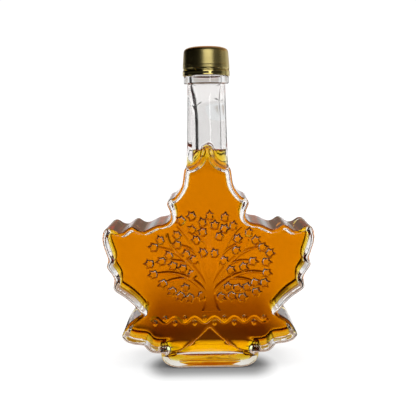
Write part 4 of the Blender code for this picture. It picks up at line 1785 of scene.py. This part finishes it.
@dataclass(frozen=True)
class Floor:
    """Pale floor that the camera sees white with a painted soft shadow at the foot, and that carries painted
    shadow and painted light for what the glass bends and mirrors.

    Attributes:
        size: Length of its sides.
        behind: Its colour by distance behind the bottle's middle: a painted shadow of the bottle, dark and
            amber-tinted a little behind the foot and lightening further back.
        aside: How much of that painted shadow shows, by distance aside.
        ahead: Brightness by distance behind the bottle's middle, less than 0 ahead of it.
        around: Brightness by bearing, near the bottle.
        far: Distances between which DISTANT takes the place of that.
        fade: Brightness by distance.
        ring: Brightness across a dark ring round the bottle.
        ring_around: Brightness of the ring by bearing to both sides, which leaves it in two stretches.
        glow: Painted light that it gives off under the bottle, in place of light let through the foot and the
            syrup, by distance behind the middle.
        glow_aside: Strength of that painted light by distance aside.
        contact: Brightness of the painted shadow that the camera sees, by distance from its middle line.
        shadow_half: Half length of that line.
        shadow_ahead: How far ahead of the bottle's middle the line lies.
        shadow_stretch: How much wider the shadow is from front to back.
        given_back: Share of light that it gives back where the camera sees it.
        given_off: Light that it gives off there, dimmed near the foot into the painted shadow.
    """

    size: float = 12.0
    # Painted shadow of the bottle on the floor behind it, tinted amber as if lit through the syrup; only the
    # glass sees it
    behind: Stops = (
        (0.030, (0.70, 0.66, 0.60)), (0.042, (0.66, 0.60, 0.50)), (0.052, (0.12, 0.07, 0.05)),
        (0.072, (0.14, 0.08, 0.05)), (0.088, (0.26, 0.17, 0.10)), (0.13, (0.35, 0.26, 0.18)),
        (0.20, (0.60, 0.56, 0.51)), (0.30, (0.74, 0.72, 0.70)), (1.0, 0.76))
    aside: Stops = ((0.040, 1.0), (0.070, 0.0))
    ahead: Stops = ((-0.12, 0.06), (-0.04, 1.0))
    around: Stops = ((-180, 0.04), (-100, 0.04), (-92, 0.7), (-76, 0.7), (-70, 0.04), (-38, 0.04), (-30, 1.0),
                     (56, 1.0), (61, 0.04), (67, 0.04), (72, 0.7), (96, 0.7), (102, 0.04), (180, 0.04))
    far: Stops = ((0.5, 0.0), (0.9, 1.0))
    fade: Stops = ((1.65, 1.0), (1.9, 0.86))
    ring: Stops = ((1.05, 1.0), (1.12, 0.0), (1.32, 0.0), (1.38, 1.0))
    ring_around: Stops = ((10.0, 1.0), (17.0, 0.04), (46.0, 0.04), (52.0, 1.0))
    # Painted pool of light on the floor under and beside the foot, seen only through the glass
    glow: Stops = ((-0.022, 0.0), (-0.016, (0.86, 0.86, 0.84)), (0.010, (0.74, 0.68, 0.56)),
                   (0.034, (0.72, 1.00, 0.40)), (0.046, 0.0))
    glow_aside: Stops = ((0.028, 1.0), (0.034, 0.6), (0.070, 0.6), (0.085, 0.0))
    # Painted contact shadow round the foot, as the camera sees it
    contact: Stops = ((0.0, 0.06), (0.0075, 0.20), (0.011, 0.42), (0.0148, 0.77), (0.019, 1.0))
    shadow_half: float = 24 * MM
    shadow_ahead: float = 14.6 * MM
    shadow_stretch: float = 1.3
    given_back: float = 0.25
    given_off: float = 0.78

    def shade(self, wiring: Wiring) -> Socket:
        """Its colour for the light in the glass, with the painted shadow of the bottle behind it.

        Args:
            wiring: Nodes of its material.

        Returns:
            The colour.
        """
        x, y, _ = wiring.place()
        away, bearing = wiring.distance(x, y), wiring.bearing("Object")
        aside = wiring.ramp(wiring.maths("ABSOLUTE", x), self.aside)
        # Painted shadow of the bottle behind it, narrowed by distance aside
        colour = wiring.mixed(aside, self.behind[-1][1], wiring.ramp(y, self.behind))
        about = wiring.mixed(wiring.ramp(away, self.far), wiring.ramp(bearing, self.around),
                             wiring.ramp(bearing, DISTANT))
        ring = wiring.maths("MAXIMUM", wiring.ramp(away, self.ring),
                            wiring.ramp(wiring.maths("ABSOLUTE", bearing), self.ring_around))
        return wiring.product(colour, wiring.ramp(away, self.fade), about, ring, wiring.ramp(y, self.ahead))

    def light(self, wiring: Wiring) -> Socket:
        """What it gives off: a painted glow into the glass, and white with a painted soft shadow to the
        camera.

        Args:
            wiring: Nodes of its material.

        Returns:
            The light's colour.
        """
        x, y, _ = wiring.place()
        width = wiring.maths("ABSOLUTE", x)
        over = wiring.maths("MAXIMUM", wiring.maths("SUBTRACT", width, self.shadow_half), 0.0)
        back = wiring.maths("DIVIDE", wiring.maths("ADD", y, self.shadow_ahead), self.shadow_stretch)
        # Painted soft shadow for the camera: the floor's own white light, dimmed near the foot
        plain = wiring.product(self.given_off, wiring.ramp(wiring.distance(over, back), self.contact))
        # Painted light: the floor glows under the bottle for rays from the glass
        glow = wiring.mixed(wiring.ramp(width, self.glow_aside), 0.0, wiring.ramp(y, self.glow))
        return wiring.seen(glow, plain)

    def build(self) -> None:
        """Put the floor in the scene."""
        item = primitive("floor", bpy.ops.mesh.primitive_plane_add, size=self.size, location=(0, 0, 0))
        made, shader, wiring = principled("floor", Roughness=1.0, Specular_IOR_Level=0.0,
                                          Emission_Strength=1.0)
        wiring.feed(shader.inputs["Base Color"], wiring.seen(self.shade(wiring), self.given_back))
        wiring.feed(shader.inputs["Emission Color"], self.light(wiring))
        dressed(item, made)


@dataclass(frozen=True)
class Surround:
    """White surround that the camera sees plain, shaded for the glass, and the broad light from above.

    Attributes:
        behind: Its colour behind the bottle, by height as the sine of the angle above the horizon.
        beside: Its colour to both sides, by height.
        sides: Bearings to both sides between which the one gives way to the other.
        left: Bearings between which a dimming of the left side sets in.
        left_dim: That dimming, by height.
        white: How bright the camera sees it.
        power: Power of the light from above.
        angle: How broad that light is, in degrees.
    """

    behind: Stops = (
        (0.0, 0.88), (0.02, 0.86), (0.05, (0.60, 0.56, 0.52)), (0.12, (0.62, 0.48, 0.38)),
        (0.16, (0.42, 0.28, 0.20)), (0.27, (0.46, 0.31, 0.22)), (0.31, (0.95, 0.78, 0.62)),
        (0.45, (0.92, 0.70, 0.52)), (0.51, (0.74, 0.42, 0.28)), (0.57, (0.60, 0.28, 0.18)),
        (0.64, (0.50, 0.17, 0.10)), (0.70, (0.80, 0.48, 0.34)), (0.80, (0.32, 0.09, 0.05)),
        (0.90, (0.50, 0.20, 0.12)), (1.0, 0.22))
    beside: Stops = (
        (0.0, 0.88), (0.06, 0.88), (0.12, 0.74), (0.26, (0.76, 0.74, 0.70)), (0.33, (0.82, 0.62, 0.46)),
        (0.42, (0.62, 0.36, 0.22)), (0.55, (0.30, 0.20, 0.15)), (1.0, 0.22))
    sides: Stops = ((20.0, 0.0), (32.0, 1.0))
    left: Stops = ((-30.0, 1.0), (-12.0, 0.0))
    left_dim: Stops = ((0.08, 1.0), (0.16, 0.1))
    white: float = 1.05
    power: float = 3.75
    angle: float = 70.0

    def world(self) -> None:
        """The surround itself."""
        world = bpy.data.worlds.new("studio")
        bpy.context.scene.world = world
        world.use_nodes = True
        wiring = Wiring(world.node_tree)
        bearing, height = wiring.bearing("Generated"), wiring.place("Generated")[2]
        aside = wiring.ramp(wiring.maths("ABSOLUTE", bearing), self.sides)
        sky = wiring.mixed(aside, wiring.ramp(height, self.behind), wiring.ramp(height, self.beside))
        dim = wiring.mixed(wiring.ramp(bearing, self.left), 1.0, wiring.ramp(height, self.left_dim))
        sky = wiring.product(wiring.ramp(bearing, DISTANT), sky, dim)
        wiring.feed(world.node_tree.nodes["Background"].inputs["Color"], wiring.seen(sky, self.white))

    def panel(self) -> None:
        """The light from above, which shows in no glass and on no metal."""
        panel = bpy.data.lights.new("sky_panel", "SUN")
        panel.energy, panel.angle = self.power, math.radians(self.angle)
        item = bpy.data.objects.new("sky_panel", panel)
        item.visible_glossy = item.visible_transmission = False
        bpy.context.scene.collection.objects.link(item)

    def build(self) -> None:
        """Put the surround and the light in the scene."""
        self.world()
        self.panel()


@dataclass(frozen=True)
class View:
    """The camera, placed as for the photo, and how far light is followed through the glass.

    Attributes:
        place: Where it stands.
        down: How far it looks down, in degrees.
        roll: How far it is turned about its own axis, in degrees.
        lens: Focal length in millimetres.
        sensor: Width of its sensor in millimetres.
        nearest: Distance from which it sees.
        bounces: How often light is followed in all, through glass and off shiny faces.
        clamp: Brightest light that counts after the first bounce.
    """

    place: Triple = (0.0, -0.4, 0.151)
    down: float = 7.73
    roll: float = -0.78
    lens: float = 56.1
    sensor: float = 36.0
    nearest: float = 0.01
    bounces: Tuple[int, int, int] = (32, 28, 12)
    clamp: float = 6.0

    def build(self) -> None:
        """Put the camera in the scene."""
        camera = bpy.data.cameras.new("camera")
        camera.lens, camera.sensor_width, camera.clip_start = self.lens, self.sensor, self.nearest
        item = bpy.data.objects.new("camera", camera)
        bpy.context.scene.collection.objects.link(item)
        tilt = Matrix.Rotation(math.radians(90 - self.down), 4, "X")
        roll = Matrix.Rotation(math.radians(self.roll), 4, "Z")
        item.matrix_world = Matrix.Translation(self.place) @ tilt @ roll
        scene = bpy.context.scene
        scene.camera = item
        scene.view_settings.view_transform = "Standard"
        cycles = scene.cycles
        cycles.max_bounces, cycles.transmission_bounces, cycles.glossy_bounces = self.bounces
        cycles.sample_clamp_indirect = self.clamp
        cycles.caustics_refractive = cycles.caustics_reflective = False


@dataclass(frozen=True)
class Studio:
    """Pale floor with painted shadows and a painted glow, soft light and the camera.

    Attributes:
        floor: The floor.
        surround: What is round it all, and the light from above.
        lamps: The lamps.
        view: The camera.
    """

    floor: Floor = Floor()
    surround: Surround = Surround()
    lamps: Sequence[Lamp] = (
        Lamp("front", (0.18, -1.0, 0.66), (0.9, 0.7), 3.0),
        Lamp("right", (1.0, -0.2, 0.66), (1.2, 0.7), 0.2),
        Lamp("streak", (0.36, -1.05, 0.215), (0.14, 0.11), 0.22),
    )
    view: View = View()

    def build(self) -> None:
        """Set up the whole studio."""
        for part in (self.floor, self.surround, *self.lamps, self.view):
            part.build()


def build_pieces() -> Tuple[Thing, ...]:
    """The glass, the syrup and the cap."""
    glass, space = GlassBottle().build()
    return glass, Syrup().build(space), ScrewCap().build()


def main() -> None:
    """Build the pieces and the studio."""
    homes = (("glass_bottle", "clear_glass"), ("syrup", "amber_syrup"), ("screw_cap", "gold_cap"))
    for piece, (node, slot) in zip(build_pieces(), homes):
        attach(piece, "root")
        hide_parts(node)
        LOG.info("%s: %d faces for %s", piece.name, len(piece.data.polygons), node)
    Studio().build()


if __name__ == "__main__":
    main()
